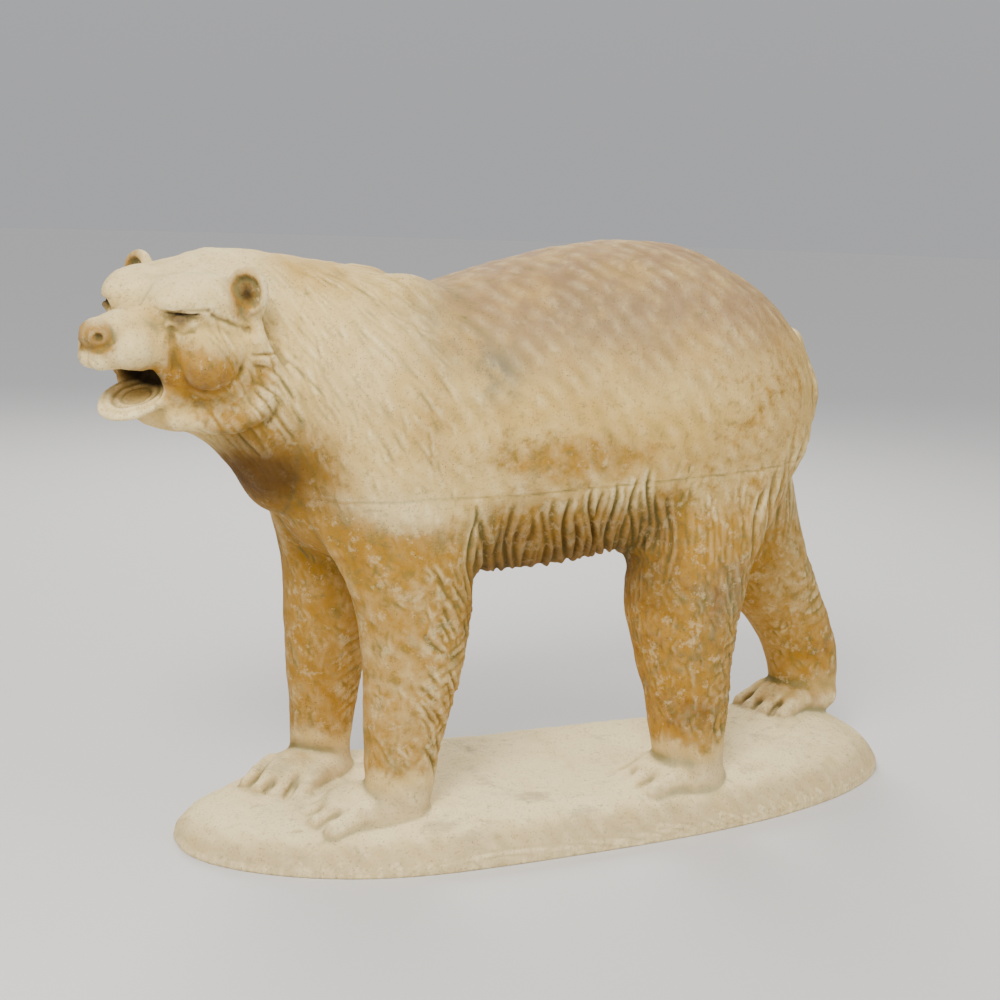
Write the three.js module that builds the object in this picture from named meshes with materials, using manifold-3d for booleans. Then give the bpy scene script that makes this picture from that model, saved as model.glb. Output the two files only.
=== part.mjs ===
// A walking bear on a low rounded mound, cast as one piece in pale concrete.
// Millimetres, Z up. The head points toward -X, the bear's left side faces -Y, and the origin is
// on the flat underside of the mound, below the middle of the whole work.
//
// The casting is described as a field, a function that is negative inside it. Muscles, limbs and
// face are rounded forms, blended into each other over a named radius, and the fur is cut into
// them as rows of locks. The field's surface is then faceted, thinned where it is smooth, and cut
// flat below.

import * as THREE from 'three';
import Module from 'manifold-3d';

// Driving dimensions

// the forms below are measured from a zero under the loins; the middle of the work is here
const MIDDLE_X = 154;
const MIDDLE_Y = -22;

// sections of the trunk and the neck: x, top, bottom, centre y, half width
const TRUNK = [
  [-400, 1160, 700, -30, 130],
  [-340, 1160, 622, -25, 170],
  [-200, 1150, 570, -20, 225],
  [-80, 1145, 553, -20, 250],
  [0, 1168, 549, -20, 255],
  [100, 1195, 549, -20, 262],
  [220, 1222, 558, -20, 268],
  [360, 1236, 585, -20, 272],
  [480, 1226, 620, -20, 270],
  [580, 1186, 650, -15, 260],
  [670, 1134, 700, -10, 228],
  [738, 1066, 750, -10, 178],
  [782, 1004, 800, -10, 118],
];
const TRUNK_CAPS = [80, 52];
const TRUNK_ROUND = 2.2; // 2 is an oval section, more is blunter
const NECK = [
  [-600, 1170, 872, -78, 85],
  [-500, 1200, 811, -60, 106],
  [-400, 1182, 745, -35, 132],
  [-300, 1160, 700, -30, 168],
];
const NECK_CAPS = [80, 150];
const NECK_ROUND = 2.1;
const NECK_BLEND = 110;

// sections of the legs: z, front x, back x, centre y, half width
const NEAR_FORELEG = [
  [100, -245, -115, -170, 62],
  [160, -247, -104, -170, 60],
  [250, -250, -85, -168, 66],
  [330, -252, -60, -165, 74],
  [430, -256, -40, -160, 84],
  [530, -275, -30, -155, 95],
  [630, -310, -30, -150, 100],
  [750, -360, -50, -140, 105],
];
const FAR_FORELEG = [
  [100, -310, -185, 125, 60],
  [160, -312, -180, 125, 58],
  [250, -318, -170, 122, 64],
  [330, -325, -155, 120, 72],
  [430, -332, -130, 115, 84],
  [530, -338, -100, 110, 95],
  [630, -360, -80, 105, 100],
  [750, -400, -80, 100, 105],
];
const NEAR_HIND_LEG = [
  [90, 420, 572, -175, 70],
  [150, 414, 573, -175, 68],
  [250, 396, 578, -172, 78],
  [370, 366, 584, -165, 95],
  [470, 348, 597, -155, 112],
  [580, 355, 630, -145, 125],
  [700, 360, 700, -130, 130],
  [820, 380, 760, -120, 125],
];
const FAR_HIND_LEG = [
  [150, 905, 1072, 120, 62],
  [200, 893, 1073, 120, 58],
  [270, 872, 1062, 118, 62],
  [350, 810, 1028, 115, 75],
  [450, 715, 975, 110, 92],
  [560, 630, 922, 105, 110],
  [680, 560, 886, 100, 125],
  [800, 500, 846, 95, 120],
];
const LEG_CAPS = [50, 120];
const LEG_ROUND = 2.15;
const LEGS = [
  { rows: NEAR_FORELEG, blend: 50, furFrom: 190, furTo: 600 },
  { rows: FAR_FORELEG, blend: 50, furFrom: 190, furTo: 600 },
  { rows: NEAR_HIND_LEG, blend: 60, furFrom: 170, furTo: 520 },
  { rows: FAR_HIND_LEG, blend: 60, furFrom: 260, furTo: 520 },
];

// shoulder blades, the near one a little farther back, and the shoulders
const MUSCLES = [
  { at: [-160, -105, 1048], radii: [100, 60, 115], blend: 50 },
  { at: [-200, 65, 1056], radii: [100, 60, 115], blend: 50 },
  { at: [-170, -185, 860], radii: [150, 75, 210], blend: 60 },
  { at: [-220, 145, 860], radii: [150, 75, 210], blend: 60 },
];
// pressed to the rump
const TAIL = { at: [776, -34, 914], radii: [55, 50, 136], blend: 12 };

// folds of the breast in front of each foreleg: x, y, z, radius
const FOLDS = [
  [
    [-366, -152, 752, 6],
    [-345, -152, 700, 12],
    [-312, -157, 636, 16],
    [-272, -167, 560, 14],
  ],
  [
    [-428, -14, 800, 18],
    [-402, 20, 738, 20],
    [-352, 52, 650, 18],
    [-310, 80, 560, 18],
  ],
];
const FOLD_BLEND = 26;
const CHAIN_BLEND = 6;

// paws: where the ankle stands, how many degrees each is turned out, and its sole's height; its
// toes' tips and its heel are measured from the ankle along the paw
const TOES = 4;
const TOE_LENGTH = 70;
const TOE_RADII = [22, 17];
const TOE_BLEND = 13;
const TOE_SET_BACK = 18; // of the middle toes' tips
const TOE_CURVE = 22; // how much farther back the outer toes end
const TOE_ARC = 1.5; // more keeps the middle toes more in line
const TOE_SPREAD = { tips: 0.84, roots: 0.7 }; // shares of the paw's half width
const TOE_RISE = { tips: 4, roots: 26 }; // above the sole
const BACK_RISE = 15;
const PAWS = [
  { ankle: [-180, -150], turn: 0, tip: -192, heel: 60, sole: 78, width: 165, height: 50 },
  { ankle: [-247, 115], turn: 36, tip: -208, heel: 62, sole: 84, width: 165, height: 44 },
  { ankle: [496, -172], turn: 0, tip: -165, heel: 80, sole: 82, width: 165, height: 50 },
  { ankle: [985, 120], turn: 16, tip: -180, heel: 95, sole: 125, width: 160, height: 50 },
];
const PAW_BLEND = 14;

// mound: a long heap set a little askew under the bear, with a hump under the far hind paw
const MOUND_LENGTH = 1720;
const MOUND_WIDTH = 580;
const MOUND_X = 265;
const MOUND_Y = -20;
const MOUND_SKEW = 0.03;
const MOUND_BOW = 0.00006; // per millimetre
const MOUND_SWELL = 0.14; // wider under the forepaws by this share
const SWELL_AT = -330;
const SWELL_SPREAD = 320;
const MOUND_ROUND = 2.3; // 2 is an oval in plan, more is blunter
const MOUND_HEIGHT = 95;
const MOUND_FLAT = 0.6; // the share of its half width that is nearly flat
const MOUND_STEEP = 2.6; // more keeps its side fuller
const MOUND_SLOPE = 0.8; // evens out how fast the field grows off its steep side
const HUMP_HEIGHT = 45;
const HUMP_AT = [950, 80];
const HUMP_SPREAD = [240, 200];

// head: its zero is between the ears, u points to the nose, v to the bear's left and w up
const HEAD_AT = [-575, -70, 1105];
const HEAD_TURN = 30; // degrees, to the bear's left
const HEAD_TILT = 4; // degrees, left ear down
const HEAD_REACH = 400; // the whole head lies within this distance of its zero
const HEAD_BLEND = 20;
const JAW_AT = [140, 2, -163];
const JAW_DROP = 23; // degrees
const JAW_ROLL = 10; // degrees
const EARS = [
  { side: 1, at: [20, 153, 50], faces: [0.9, 0.42, -0.05], lean: 16 },
  { side: -1, at: [14, 142, 44], faces: [0.94, 0.1, 0.05], lean: -25 },
];
const EAR_RADII = [21, 39, 44];
const EAR_HOLLOWS = [
  { at: [22, 1, -3], radii: [29, 31, 36] },
  { at: [30, -34, -38], radii: [40, 36, 32] },
];
const EAR_HOLLOW_BLEND = 7;
const EAR_STEM = [30, 20, 30]; // from the ear back into the skull
const EAR_STEM_SET_BACK = 12;
const EAR_STEM_RADII = [18, 30];
const EAR_STEM_BLEND = 12;
const EAR_BLEND = 10;

// ruff behind the cheek, from below the ear to the throat: u, v, w, radius
const RUFF = [
  [0, 150, 5, 10],
  [-15, 155, -38, 14],
  [-37, 158, -78, 17],
  [-48, 158, -113, 20],
  [-43, 156, -143, 22],
  [-25, 145, -178, 24],
  [0, 125, -196, 24],
  [35, 98, -203, 22],
  [85, 60, -200, 20],
];
const RUFF_BLEND = 22;

// the masses of the head. They lie on the coordinates of the whole head, of both halves laid over
// each other, or of the jaw; each has a centre and radii, or is a rod between two ends, and blends
// into what stands already
const HEAD_MASSES = [
  // skull, forehead, and the lobes over the eyes
  { on: 'whole', at: [-55, 0, -6], radii: [145, 130, 113], blend: 30 },
  { on: 'whole', at: [40, 0, -14], radii: [115, 105, 86], blend: 30 },
  { on: 'halves', at: [94, 62, 14], radii: [66, 62, 46], blend: 25 },
  // jowls, throat, and the bags under the eyes
  { on: 'halves', at: [0, 80, -100], radii: [78, 78, 108], blend: 30 },
  { on: 'whole', at: [50, 0, -172], radii: [90, 70, 62], blend: 30 },
  { on: 'halves', at: [85, 60, -45], radii: [55, 45, 40], blend: 20 },
  { on: 'halves', at: [108, 56, -72], radii: [52, 32, 50], blend: 25 },
  // muzzle: bridge, lips, and the nose
  { on: 'whole', from: [90, 0, -28], to: [236, 0, -40], radii: [50, 31], blend: 25 },
  { on: 'halves', at: [182, 36, -66], radii: [60, 38, 40], blend: 14 },
  { on: 'halves', at: [226, 14, -80], radii: [34, 26, 30], blend: 10 },
  { on: 'whole', at: [246, 0, -40], radii: [25, 36, 26], blend: 6 },
  // corners of the mouth, and the jaw like a broad spoon
  { on: 'halves', at: [90, 58, -125], radii: [38, 32, 55], blend: 20 },
  { on: 'jaw', at: [0, 0, 0], radii: [81, 58, 19], blend: 15 },
  // cheeks, temples, and the fat behind the lobes
  { on: 'halves', at: [56, 100, -88], radii: [66, 57, 66], blend: 18 },
  { on: 'halves', at: [70, 80, -42], radii: [58, 50, 46], blend: 25 },
  { on: 'halves', at: [18, 98, 4], radii: [72, 44, 48], blend: 14 },
  { on: 'halves', at: [40, 76, 28], radii: [84, 58, 44], blend: 30 },
];
// two curls of the mane behind the jaw
const CURLS = [
  { on: 'halves', from: [-66, 158, -128], to: [-94, 172, -182], radii: [16, 24], blend: 8 },
  { on: 'halves', from: [-40, 132, -206], to: [-80, 156, -214], radii: [18, 24], blend: 8 },
];
// the open mouth, and the hollow of the lower lip
const MOUTH_HOLLOWS = [
  { on: 'whole', at: [200, 0, -128], radii: [114, 62, 26], blend: 8 },
  { on: 'jaw', at: [-4, 0, 23], radii: [74, 52, 25], blend: 6 },
];
const MOUTH_FLAPS = [
  { on: 'halves', from: [165, 42, -90], to: [100, 50, -76], radii: [13, 18], blend: 10 },
];
const NOSTRILS_AND_SOCKETS = [
  { on: 'halves', at: [263, 27, -42], radii: [12, 8, 8], blend: 4 },
  { on: 'halves', from: [162, 78, -5], to: [108, 128, -3], radii: [11, 7], blend: 6 },
];
const EYES_AND_LIDS = [
  { on: 'halves', at: [130, 95, -7], radii: [13, 14, 10], blend: 2 },
  { on: 'halves', from: [144, 80, -17], to: [112, 110, -14], radii: [6, 6], blend: 8 },
];
const BROW_FURROW = [
  { on: 'whole', from: [160, 0, 30], to: [85, 0, 96], radii: [12, 8], blend: 22 },
];

// locks of fur
const LEG_LOCKS = 11; // around a leg
const LEG_LOCK_LENGTH = 92;
const LEG_LOCK_DEPTH = 6;
const LEG_LOCK_LEAN = 0.004; // turns of a lock's root against its tip, per millimetre
const FUR_FADE = 80; // the height over which a leg's fur begins and ends
const FUR_BEHIND = [-0.2, 0.7]; // it starts behind the middle of the leg, in shares of its depth
const FUR_OFF = [1.1, 1.5]; // and ends off the leg's surface
const BELLY_FUR = {
  x: [-60, 10, 330, 400],
  z: [660, 790],
  aside: [60, 130],
  width: 36,
  length: 95,
  lean: 0.004,
  depth: 12,
};
const HAUNCH_FUR = {
  x: [620, 720, 900, 960],
  z: [430, 520, 760, 860],
  slant: 0.35,
  width: 42,
  length: 90,
  depth: 9,
};
const LOCK_ROOT = 0.35; // how high a lock stands at its root, as a share of its tip
const BETWEEN_LOCKS = 0.6; // how much of a lock's depth is cut away from the plain form

// facets
const MOST_TRIANGLES = 9600;
const FINE = 6.5; // spacing of the grid on the head
const COARSE = 11; // and on the rest
const FINE_TO_X = -330;
const FINE_FROM_Z = 830;
const FACE_CARE = 9; // an error on the head costs this much more than one on the body
const SPARE_DEPTH = 39; // modelled below the underside, and cut off at the end
const MARGIN = 100; // that the cutting slab stands out on each side
const BLOCK = 6; // cells of the grid along each side of a block that is read at once
const BLOCK_CARE = 1.6; // how much farther than its own reach a block must lie to be left unread
const FILLED = -0.05; // the value of a corner of the grid that was outside and is filled in
const PROBE = 2; // how far apart the field is read for its slope
const LEAST_SLOPE = 0.25;
const FLAT = 1e-4; // of a corner whose planes do not meet in one point
const LENGTH_COST = 1e-3; // of an edge that is drawn together, for each square millimetre
const LEAST_DOT = 0.3; // between a facet's way of facing before and after
const LEAST_PLUMP = 0.08; // a facet's area against its longest side
const REACH = { x: [-900, 1190], y: [-390, 360], z: [-SPARE_DEPTH - 26, 1300] };

const STONE = new THREE.MeshStandardMaterial({ color: 0xd6c49a, roughness: 0.85, metalness: 0 });

// Rounded forms and how they join

function join(a, b, blend) {
  const h = Math.max(blend - Math.abs(a - b), 0) / blend;
  return Math.min(a, b) - (h * h * blend) / 4;
}

function carve(a, b, blend) {
  return -join(-a, b, blend);
}

function ellipsoid(p, centre, radii) {
  const x = (p[0] - centre[0]) / radii[0];
  const y = (p[1] - centre[1]) / radii[1];
  const z = (p[2] - centre[2]) / radii[2];
  const level = Math.hypot(x, y, z);
  const slope = Math.hypot(x / radii[0], y / radii[1], z / radii[2]);
  return (level * (level - 1)) / Math.max(slope, 1e-9);
}

// a rod with round ends, from radius ra at a to radius rb at b
function rod(p, a, b, ra, rb) {
  const along = [b[0] - a[0], b[1] - a[1], b[2] - a[2]];
  const to = [p[0] - a[0], p[1] - a[1], p[2] - a[2]];
  const square = along[0] ** 2 + along[1] ** 2 + along[2] ** 2;
  const share = (to[0] * along[0] + to[1] * along[1] + to[2] * along[2]) / square;
  const t = Math.min(Math.max(share, 0), 1);
  const away = Math.hypot(to[0] - t * along[0], to[1] - t * along[1], to[2] - t * along[2]);
  return away - (ra + (rb - ra) * t);
}

// One size of a table of sections, as a smooth curve: its value a share t into gap i.
function smoothSize(rows, i, t, pick) {
  const last = rows.length - 1;
  const slope = (k) => {
    const before = rows[Math.max(k - 1, 0)];
    const after = rows[Math.min(k + 1, last)];
    return (pick(after) - pick(before)) / (after[0] - before[0]);
  };
  const gap = rows[i + 1][0] - rows[i][0];
  const t2 = t * t;
  const t3 = t2 * t;
  const ends = (2 * t3 - 3 * t2 + 1) * pick(rows[i]) + (3 * t2 - 2 * t3) * pick(rows[i + 1]);
  return ends + gap * ((t3 - 2 * t2 + t) * slope(i) + (t3 - t2) * slope(i + 1));
}

const middleOf = (row) => (row[1] + row[2]) / 2;
const halfDepthOf = (row) => Math.abs(row[1] - row[2]) / 2;
const centreOf = (row) => row[3];
const halfWidthOf = (row) => row[4];

// The section of a table at s: its middle and half depth, its centre and half width.
function sectionAt(s, rows) {
  const last = rows.length - 1;
  const within = Math.min(Math.max(s, rows[0][0]), rows[last][0]);
  let i = 0;
  while (i < last - 1 && rows[i + 1][0] < within) {
    i += 1;
  }
  const t = (within - rows[i][0]) / (rows[i + 1][0] - rows[i][0]);
  return {
    over: s - within,
    middle: smoothSize(rows, i, t, middleOf),
    halfDepth: smoothSize(rows, i, t, halfDepthOf),
    centre: smoothSize(rows, i, t, centreOf),
    halfWidth: smoothSize(rows, i, t, halfWidthOf),
  };
}

// A body with oval sections stacked along s, between its two edges and across its width.
function loft(s, between, across, rows, caps, power) {
  const { over, middle, halfDepth, centre, halfWidth } = sectionAt(s, rows);
  const cap = over < 0 ? caps[0] : caps[1];
  const a = Math.abs(between - middle) / halfDepth;
  const b = Math.abs(across - centre) / halfWidth;
  const c = Math.abs(over) / cap;
  const level = (a ** power + b ** power + c ** power) ** (1 / power);
  const slope = Math.hypot(a / halfDepth, b / halfWidth, c / cap);
  return ((level - 1) * Math.hypot(a, b, c)) / Math.max(slope, 1e-9);
}

function smoothStep(from, to, x) {
  const t = Math.min(Math.max((x - from) / (to - from), 0), 1);
  return t * t * (3 - 2 * t);
}

// Trunk and limbs

function leg(p, rows) {
  return loft(p[2], p[0], p[1], rows, LEG_CAPS, LEG_ROUND);
}

// rods from place to place, each place with its own radius
function chain(p, places) {
  let d = Infinity;
  for (let i = 0; i + 1 < places.length; i += 1) {
    const piece = rod(p, places[i], places[i + 1], places[i][3], places[i + 1][3]);
    d = join(d, piece, CHAIN_BLEND);
  }
  return d;
}

// coordinates from the ankle: back along the paw, across it, and up
function alongPaw(p, ankle, turn) {
  const angle = THREE.MathUtils.degToRad(turn);
  const x = p[0] - ankle[0];
  const y = p[1] - ankle[1];
  const back = x * Math.cos(angle) + y * Math.sin(angle);
  const across = y * Math.cos(angle) - x * Math.sin(angle);
  return [back, across, p[2]];
}

function paw(p, { ankle, turn, tip, heel, sole, width, height }) {
  const local = alongPaw(p, ankle, turn);
  const half = width / 2;
  const knuckles = tip + TOE_LENGTH / 2;
  const middle = [(knuckles + heel) / 2, 0, sole + BACK_RISE];
  let d = ellipsoid(local, middle, [(heel - knuckles) / 2, half, height]);
  for (let i = 0; i < TOES; i += 1) {
    const side = (2 * i) / (TOES - 1) - 1;
    const reach = tip + TOE_SET_BACK + TOE_CURVE * Math.abs(side) ** TOE_ARC;
    const end = [reach, side * half * TOE_SPREAD.tips, sole + TOE_RISE.tips];
    const root = [reach + TOE_LENGTH, side * half * TOE_SPREAD.roots, sole + TOE_RISE.roots];
    d = join(d, rod(local, root, end, ...TOE_RADII), TOE_BLEND);
  }
  return d;
}

function body(p) {
  const trunk = loft(p[0], p[2], p[1], TRUNK, TRUNK_CAPS, TRUNK_ROUND);
  const neck = loft(p[0], p[2], p[1], NECK, NECK_CAPS, NECK_ROUND);
  let d = join(trunk, neck, NECK_BLEND);
  MUSCLES.forEach(({ at, radii, blend }) => {
    d = join(d, ellipsoid(p, at, radii), blend);
  });
  LEGS.forEach(({ rows, blend }) => {
    d = join(d, leg(p, rows), blend);
  });
  FOLDS.forEach((places) => {
    d = join(d, chain(p, places), FOLD_BLEND);
  });
  return join(d, ellipsoid(p, TAIL.at, TAIL.radii), TAIL.blend);
}

// Head

const TURN = THREE.MathUtils.degToRad(HEAD_TURN);
const FORWARD = new THREE.Vector3(-Math.cos(TURN), -Math.sin(TURN), 0);
const LEFT = new THREE.Vector3(Math.sin(TURN), -Math.cos(TURN), 0);
LEFT.applyAxisAngle(FORWARD, -THREE.MathUtils.degToRad(HEAD_TILT));
const UP = new THREE.Vector3().crossVectors(FORWARD, LEFT);

// the coordinates of p along three axes from a zero
function along(p, zero, axes) {
  const [x, y, z] = [p[0] - zero[0], p[1] - zero[1], p[2] - zero[2]];
  return axes.map((axis) => axis.x * x + axis.y * y + axis.z * z);
}

const PITCH = THREE.MathUtils.degToRad(JAW_DROP);
const JAW_FORWARD = new THREE.Vector3(Math.cos(PITCH), 0, -Math.sin(PITCH));
const JAW_AXES = [
  JAW_FORWARD,
  new THREE.Vector3(0, 1, 0),
  new THREE.Vector3(Math.sin(PITCH), 0, Math.cos(PITCH)),
].map((axis) => axis.applyAxisAngle(JAW_FORWARD.clone(), -THREE.MathUtils.degToRad(JAW_ROLL)));

// the way an ear faces, its breadth and its height
function earAxes({ faces, lean }) {
  const outward = new THREE.Vector3(...faces).normalize();
  const side = new THREE.Vector3(0, 0, 1).cross(outward).normalize();
  const rise = new THREE.Vector3().crossVectors(outward, side);
  const angle = THREE.MathUtils.degToRad(lean);
  return [outward, side.applyAxisAngle(outward, angle), rise.applyAxisAngle(outward, angle)];
}
EARS.forEach((each) => {
  each.axes = earAxes(each);
});

function ear(whole, { side, at, faces, axes }) {
  const mirrored = [whole[0], whole[1] * side, whole[2]];
  const local = along(mirrored, at, axes);
  let d = ellipsoid(local, [0, 0, 0], EAR_RADII);
  EAR_HOLLOWS.forEach((hollow) => {
    d = carve(d, ellipsoid(local, hollow.at, hollow.radii), EAR_HOLLOW_BLEND);
  });
  const stem = at.map((value, axis) => value - EAR_STEM_SET_BACK * faces[axis]);
  const root = at.map((value, axis) => value - EAR_STEM[axis]);
  return join(d, rod(mirrored, stem, root, ...EAR_STEM_RADII), EAR_STEM_BLEND);
}

// what stands already, with forms joined to it or carved out of it
function shape(d, spaces, forms, how) {
  return forms.reduce((standing, { on, at, from, to, radii, blend }) => {
    const piece = at ? ellipsoid(spaces[on], at, radii) : rod(spaces[on], from, to, ...radii);
    return how(standing, piece, blend);
  }, d);
}

function head(p) {
  const whole = along(p, HEAD_AT, [FORWARD, LEFT, UP]);
  const halves = [whole[0], Math.abs(whole[1]), whole[2]];
  const spaces = { whole, halves, jaw: along(whole, JAW_AT, JAW_AXES) };
  let d = shape(Infinity, spaces, HEAD_MASSES, join);
  d = join(d, chain(halves, RUFF), RUFF_BLEND);
  d = shape(d, spaces, CURLS, join);
  d = shape(d, spaces, MOUTH_HOLLOWS, carve);
  d = shape(d, spaces, MOUTH_FLAPS, join);
  d = shape(d, spaces, NOSTRILS_AND_SOCKETS, carve);
  d = shape(d, spaces, EYES_AND_LIDS, join);
  d = shape(d, spaces, BROW_FURROW, carve);
  EARS.forEach((each) => {
    d = join(d, ear(whole, each), EAR_BLEND);
  });
  return d;
}

// Mound

function mound(p) {
  const x = p[0] - MOUND_X;
  const y = p[1] - (MOUND_Y + MOUND_SKEW * x + MOUND_BOW * x * x);
  const width = MOUND_WIDTH * (1 + MOUND_SWELL * Math.exp(-(((p[0] - SWELL_AT) / SWELL_SPREAD) ** 2)));
  const ends = Math.abs((2 * x) / MOUND_LENGTH) ** MOUND_ROUND;
  const sides = Math.abs((2 * y) / width) ** MOUND_ROUND;
  const plan = (ends + sides) ** (1 / MOUND_ROUND);
  const away = [(p[0] - HUMP_AT[0]) / HUMP_SPREAD[0], (p[1] - HUMP_AT[1]) / HUMP_SPREAD[1]];
  const crest = MOUND_HEIGHT + HUMP_HEIGHT * Math.exp(-(away[0] ** 2) - away[1] ** 2);
  const fall = Math.min(Math.max((plan - MOUND_FLAT) / (1 - MOUND_FLAT), 0), 1);
  const top = crest * Math.sqrt(1 - fall ** MOUND_STEEP);
  return Math.max(p[2] - top, ((plan - 1) * MOUND_WIDTH) / 2) * MOUND_SLOPE;
}

// Fur

// Locks lie in rows, each row over the roots of the next. The result is 1 on the back of a lock
// at its tip and 0 in the cleft between two locks.
function locks(across, down) {
  const row = Math.floor(down);
  const round = Math.sqrt(Math.abs(Math.sin(Math.PI * (across + 0.5 * (row % 2)))));
  return round * (LOCK_ROOT + (1 - LOCK_ROOT) * (down - row));
}

// 0 before the first mark, 1 between the second and third, and 0 again after the last
function within([start, full, fading, end], x) {
  return smoothStep(start, full, x) * (1 - smoothStep(fading, end, x));
}

function legFur(p, { rows, furFrom, furTo }) {
  const { middle, centre, halfDepth, halfWidth } = sectionAt(p[2], rows);
  const x = (p[0] - middle) / halfDepth;
  const y = (p[1] - centre) / halfWidth;
  const near = 1 - smoothStep(...FUR_OFF, Math.hypot(x, y));
  const behind = smoothStep(...FUR_BEHIND, x);
  const share = near * behind * within([furFrom, furFrom + FUR_FADE, furTo - FUR_FADE, furTo], p[2]);
  if (share === 0) {
    return 0;
  }
  const turn = Math.atan2(y, x) / (2 * Math.PI);
  const across = turn * LEG_LOCKS + p[2] * LEG_LOCK_LEAN * LEG_LOCKS * Math.sign(y);
  const down = (furTo - p[2]) / LEG_LOCK_LENGTH;
  return LEG_LOCK_DEPTH * share * (BETWEEN_LOCKS - locks(across, down));
}

function bellyFur(p) {
  const { x, z, aside, width, length, lean, depth } = BELLY_FUR;
  const out = smoothStep(...aside, Math.abs(p[1] - MOUND_Y));
  const share = within(x, p[0]) * (1 - smoothStep(...z, p[2])) * out;
  if (share === 0) {
    return 0;
  }
  const across = p[0] / width + (p[2] - z[0]) * lean;
  const down = (z[1] - p[2]) / length;
  return depth * share * (BETWEEN_LOCKS - locks(across, down));
}

function haunchFur(p) {
  const { x, z, slant, width, length, depth } = HAUNCH_FUR;
  const share = smoothStep(x[0], x[1], p[0] + slant * (p[2] - z[2]))
    * (1 - smoothStep(x[2], x[3], p[0])) * within(z, p[2]);
  if (share === 0) {
    return 0;
  }
  const across = (p[0] / 2 + Math.abs(p[1] - MOUND_Y)) / width;
  const down = (z[3] - p[2]) / length;
  return depth * share * (BETWEEN_LOCKS - locks(across, down));
}

function fur(p) {
  return LEGS.reduce((sum, each) => sum + legFur(p, each), bellyFur(p) + haunchFur(p));
}

// The whole casting

function casting(x, y, z) {
  const p = [x, y, z];
  let d = body(p);
  const toHead = Math.hypot(x - HEAD_AT[0], y - HEAD_AT[1], z - HEAD_AT[2]) - HEAD_REACH;
  if (toHead < 0) {
    d = join(d, head(p), HEAD_BLEND);
  }
  if (Math.abs(d) < COARSE * 3) {
    d += fur(p);
  }
  if (z < MOUND_HEIGHT * 3) {
    d = join(d, mound(p), PAW_BLEND);
    PAWS.forEach((each) => {
      d = join(d, paw(p, each), PAW_BLEND);
    });
  }
  return Math.max(d, -SPARE_DEPTH - z);
}

// Faceting: the field is read on a grid that is finer around the head, and each cell that the
// surface crosses gets one point.

function gridLines([from, to], fineFrom, fineTo) {
  const lines = [from];
  while (lines[lines.length - 1] < to) {
    const last = lines[lines.length - 1];
    lines.push(last + (last >= fineFrom && last < fineTo ? FINE : COARSE));
  }
  return lines;
}

function readField(xs, ys, zs) {
  const size = [xs.length, ys.length, zs.length];
  const values = new Float32Array(size[0] * size[1] * size[2]);
  const at = (i, j, k) => (i * size[1] + j) * size[2] + k;
  for (let i0 = 0; i0 < size[0]; i0 += BLOCK) {
    for (let j0 = 0; j0 < size[1]; j0 += BLOCK) {
      for (let k0 = 0; k0 < size[2]; k0 += BLOCK) {
        const ends = [
          Math.min(i0 + BLOCK, size[0]),
          Math.min(j0 + BLOCK, size[1]),
          Math.min(k0 + BLOCK, size[2]),
        ];
        const low = [xs[i0], ys[j0], zs[k0]];
        const high = [xs[ends[0] - 1], ys[ends[1] - 1], zs[ends[2] - 1]];
        const middle = low.map((value, axis) => (value + high[axis]) / 2);
        const reach = Math.hypot(...low.map((value, axis) => high[axis] - value)) / 2;
        const there = casting(...middle);
        const far = Math.abs(there) > reach * BLOCK_CARE + COARSE;
        for (let i = i0; i < ends[0]; i += 1) {
          for (let j = j0; j < ends[1]; j += 1) {
            for (let k = k0; k < ends[2]; k += 1) {
              values[at(i, j, k)] = far ? there : casting(xs[i], ys[j], zs[k]);
            }
          }
        }
      }
    }
  }
  return { values, at, size };
}

// Where inside and outside would meet only along an edge or at a point, the outside is filled in,
// so that the facets never touch themselves.
function fillPinches({ values, at, size }) {
  const inside = (i, j, k) => values[at(i, j, k)] < 0;
  const fill = (cells) => {
    const open = cells.filter((cell) => !inside(...cell));
    open.sort((a, b) => values[at(...a)] - values[at(...b)]);
    values[at(...open[0])] = FILLED;
    return true;
  };
  let changed = true;
  while (changed) {
    changed = false;
    for (let i = 0; i + 1 < size[0]; i += 1) {
      for (let j = 0; j + 1 < size[1]; j += 1) {
        for (let k = 0; k + 1 < size[2]; k += 1) {
          const cube = CORNERS.map((c) => [i + c[0], j + c[1], k + c[2]]);
          const signs = cube.map((cell) => inside(...cell));
          if (signs.every((sign) => sign === signs[0])) {
            continue;
          }
          SQUARES.forEach(([a, b, c, d]) => {
            if (signs[a] === signs[d] && signs[b] === signs[c] && signs[a] !== signs[b]) {
              changed = fill([cube[a], cube[b], cube[c], cube[d]]);
            }
          });
          const count = signs.filter((sign) => sign).length;
          const opposite = [0, 1, 2, 3].some((a) => signs[a] === signs[7 - a]
            && signs.every((sign, b) => b === a || b === 7 - a || sign !== signs[a]));
          if (opposite && (count === 2 || count === 6)) {
            changed = fill(cube);
          }
        }
      }
    }
  }
}

const CORNERS = [0, 1, 2, 3, 4, 5, 6, 7].map((c) => [c & 1, (c >> 1) & 1, (c >> 2) & 1]);
const SQUARES = [
  [0, 1, 2, 3],
  [4, 5, 6, 7],
  [0, 1, 4, 5],
  [2, 3, 6, 7],
  [0, 2, 4, 6],
  [1, 3, 5, 7],
];
const RING = [
  [0, 0],
  [1, 0],
  [1, 1],
  [0, 1],
];
const EDGES = [];
CORNERS.forEach((a, i) => {
  CORNERS.forEach((b, j) => {
    if (i < j && Math.abs(a[0] - b[0]) + Math.abs(a[1] - b[1]) + Math.abs(a[2] - b[2]) === 1) {
      EDGES.push([a, b]);
    }
  });
});

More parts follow.
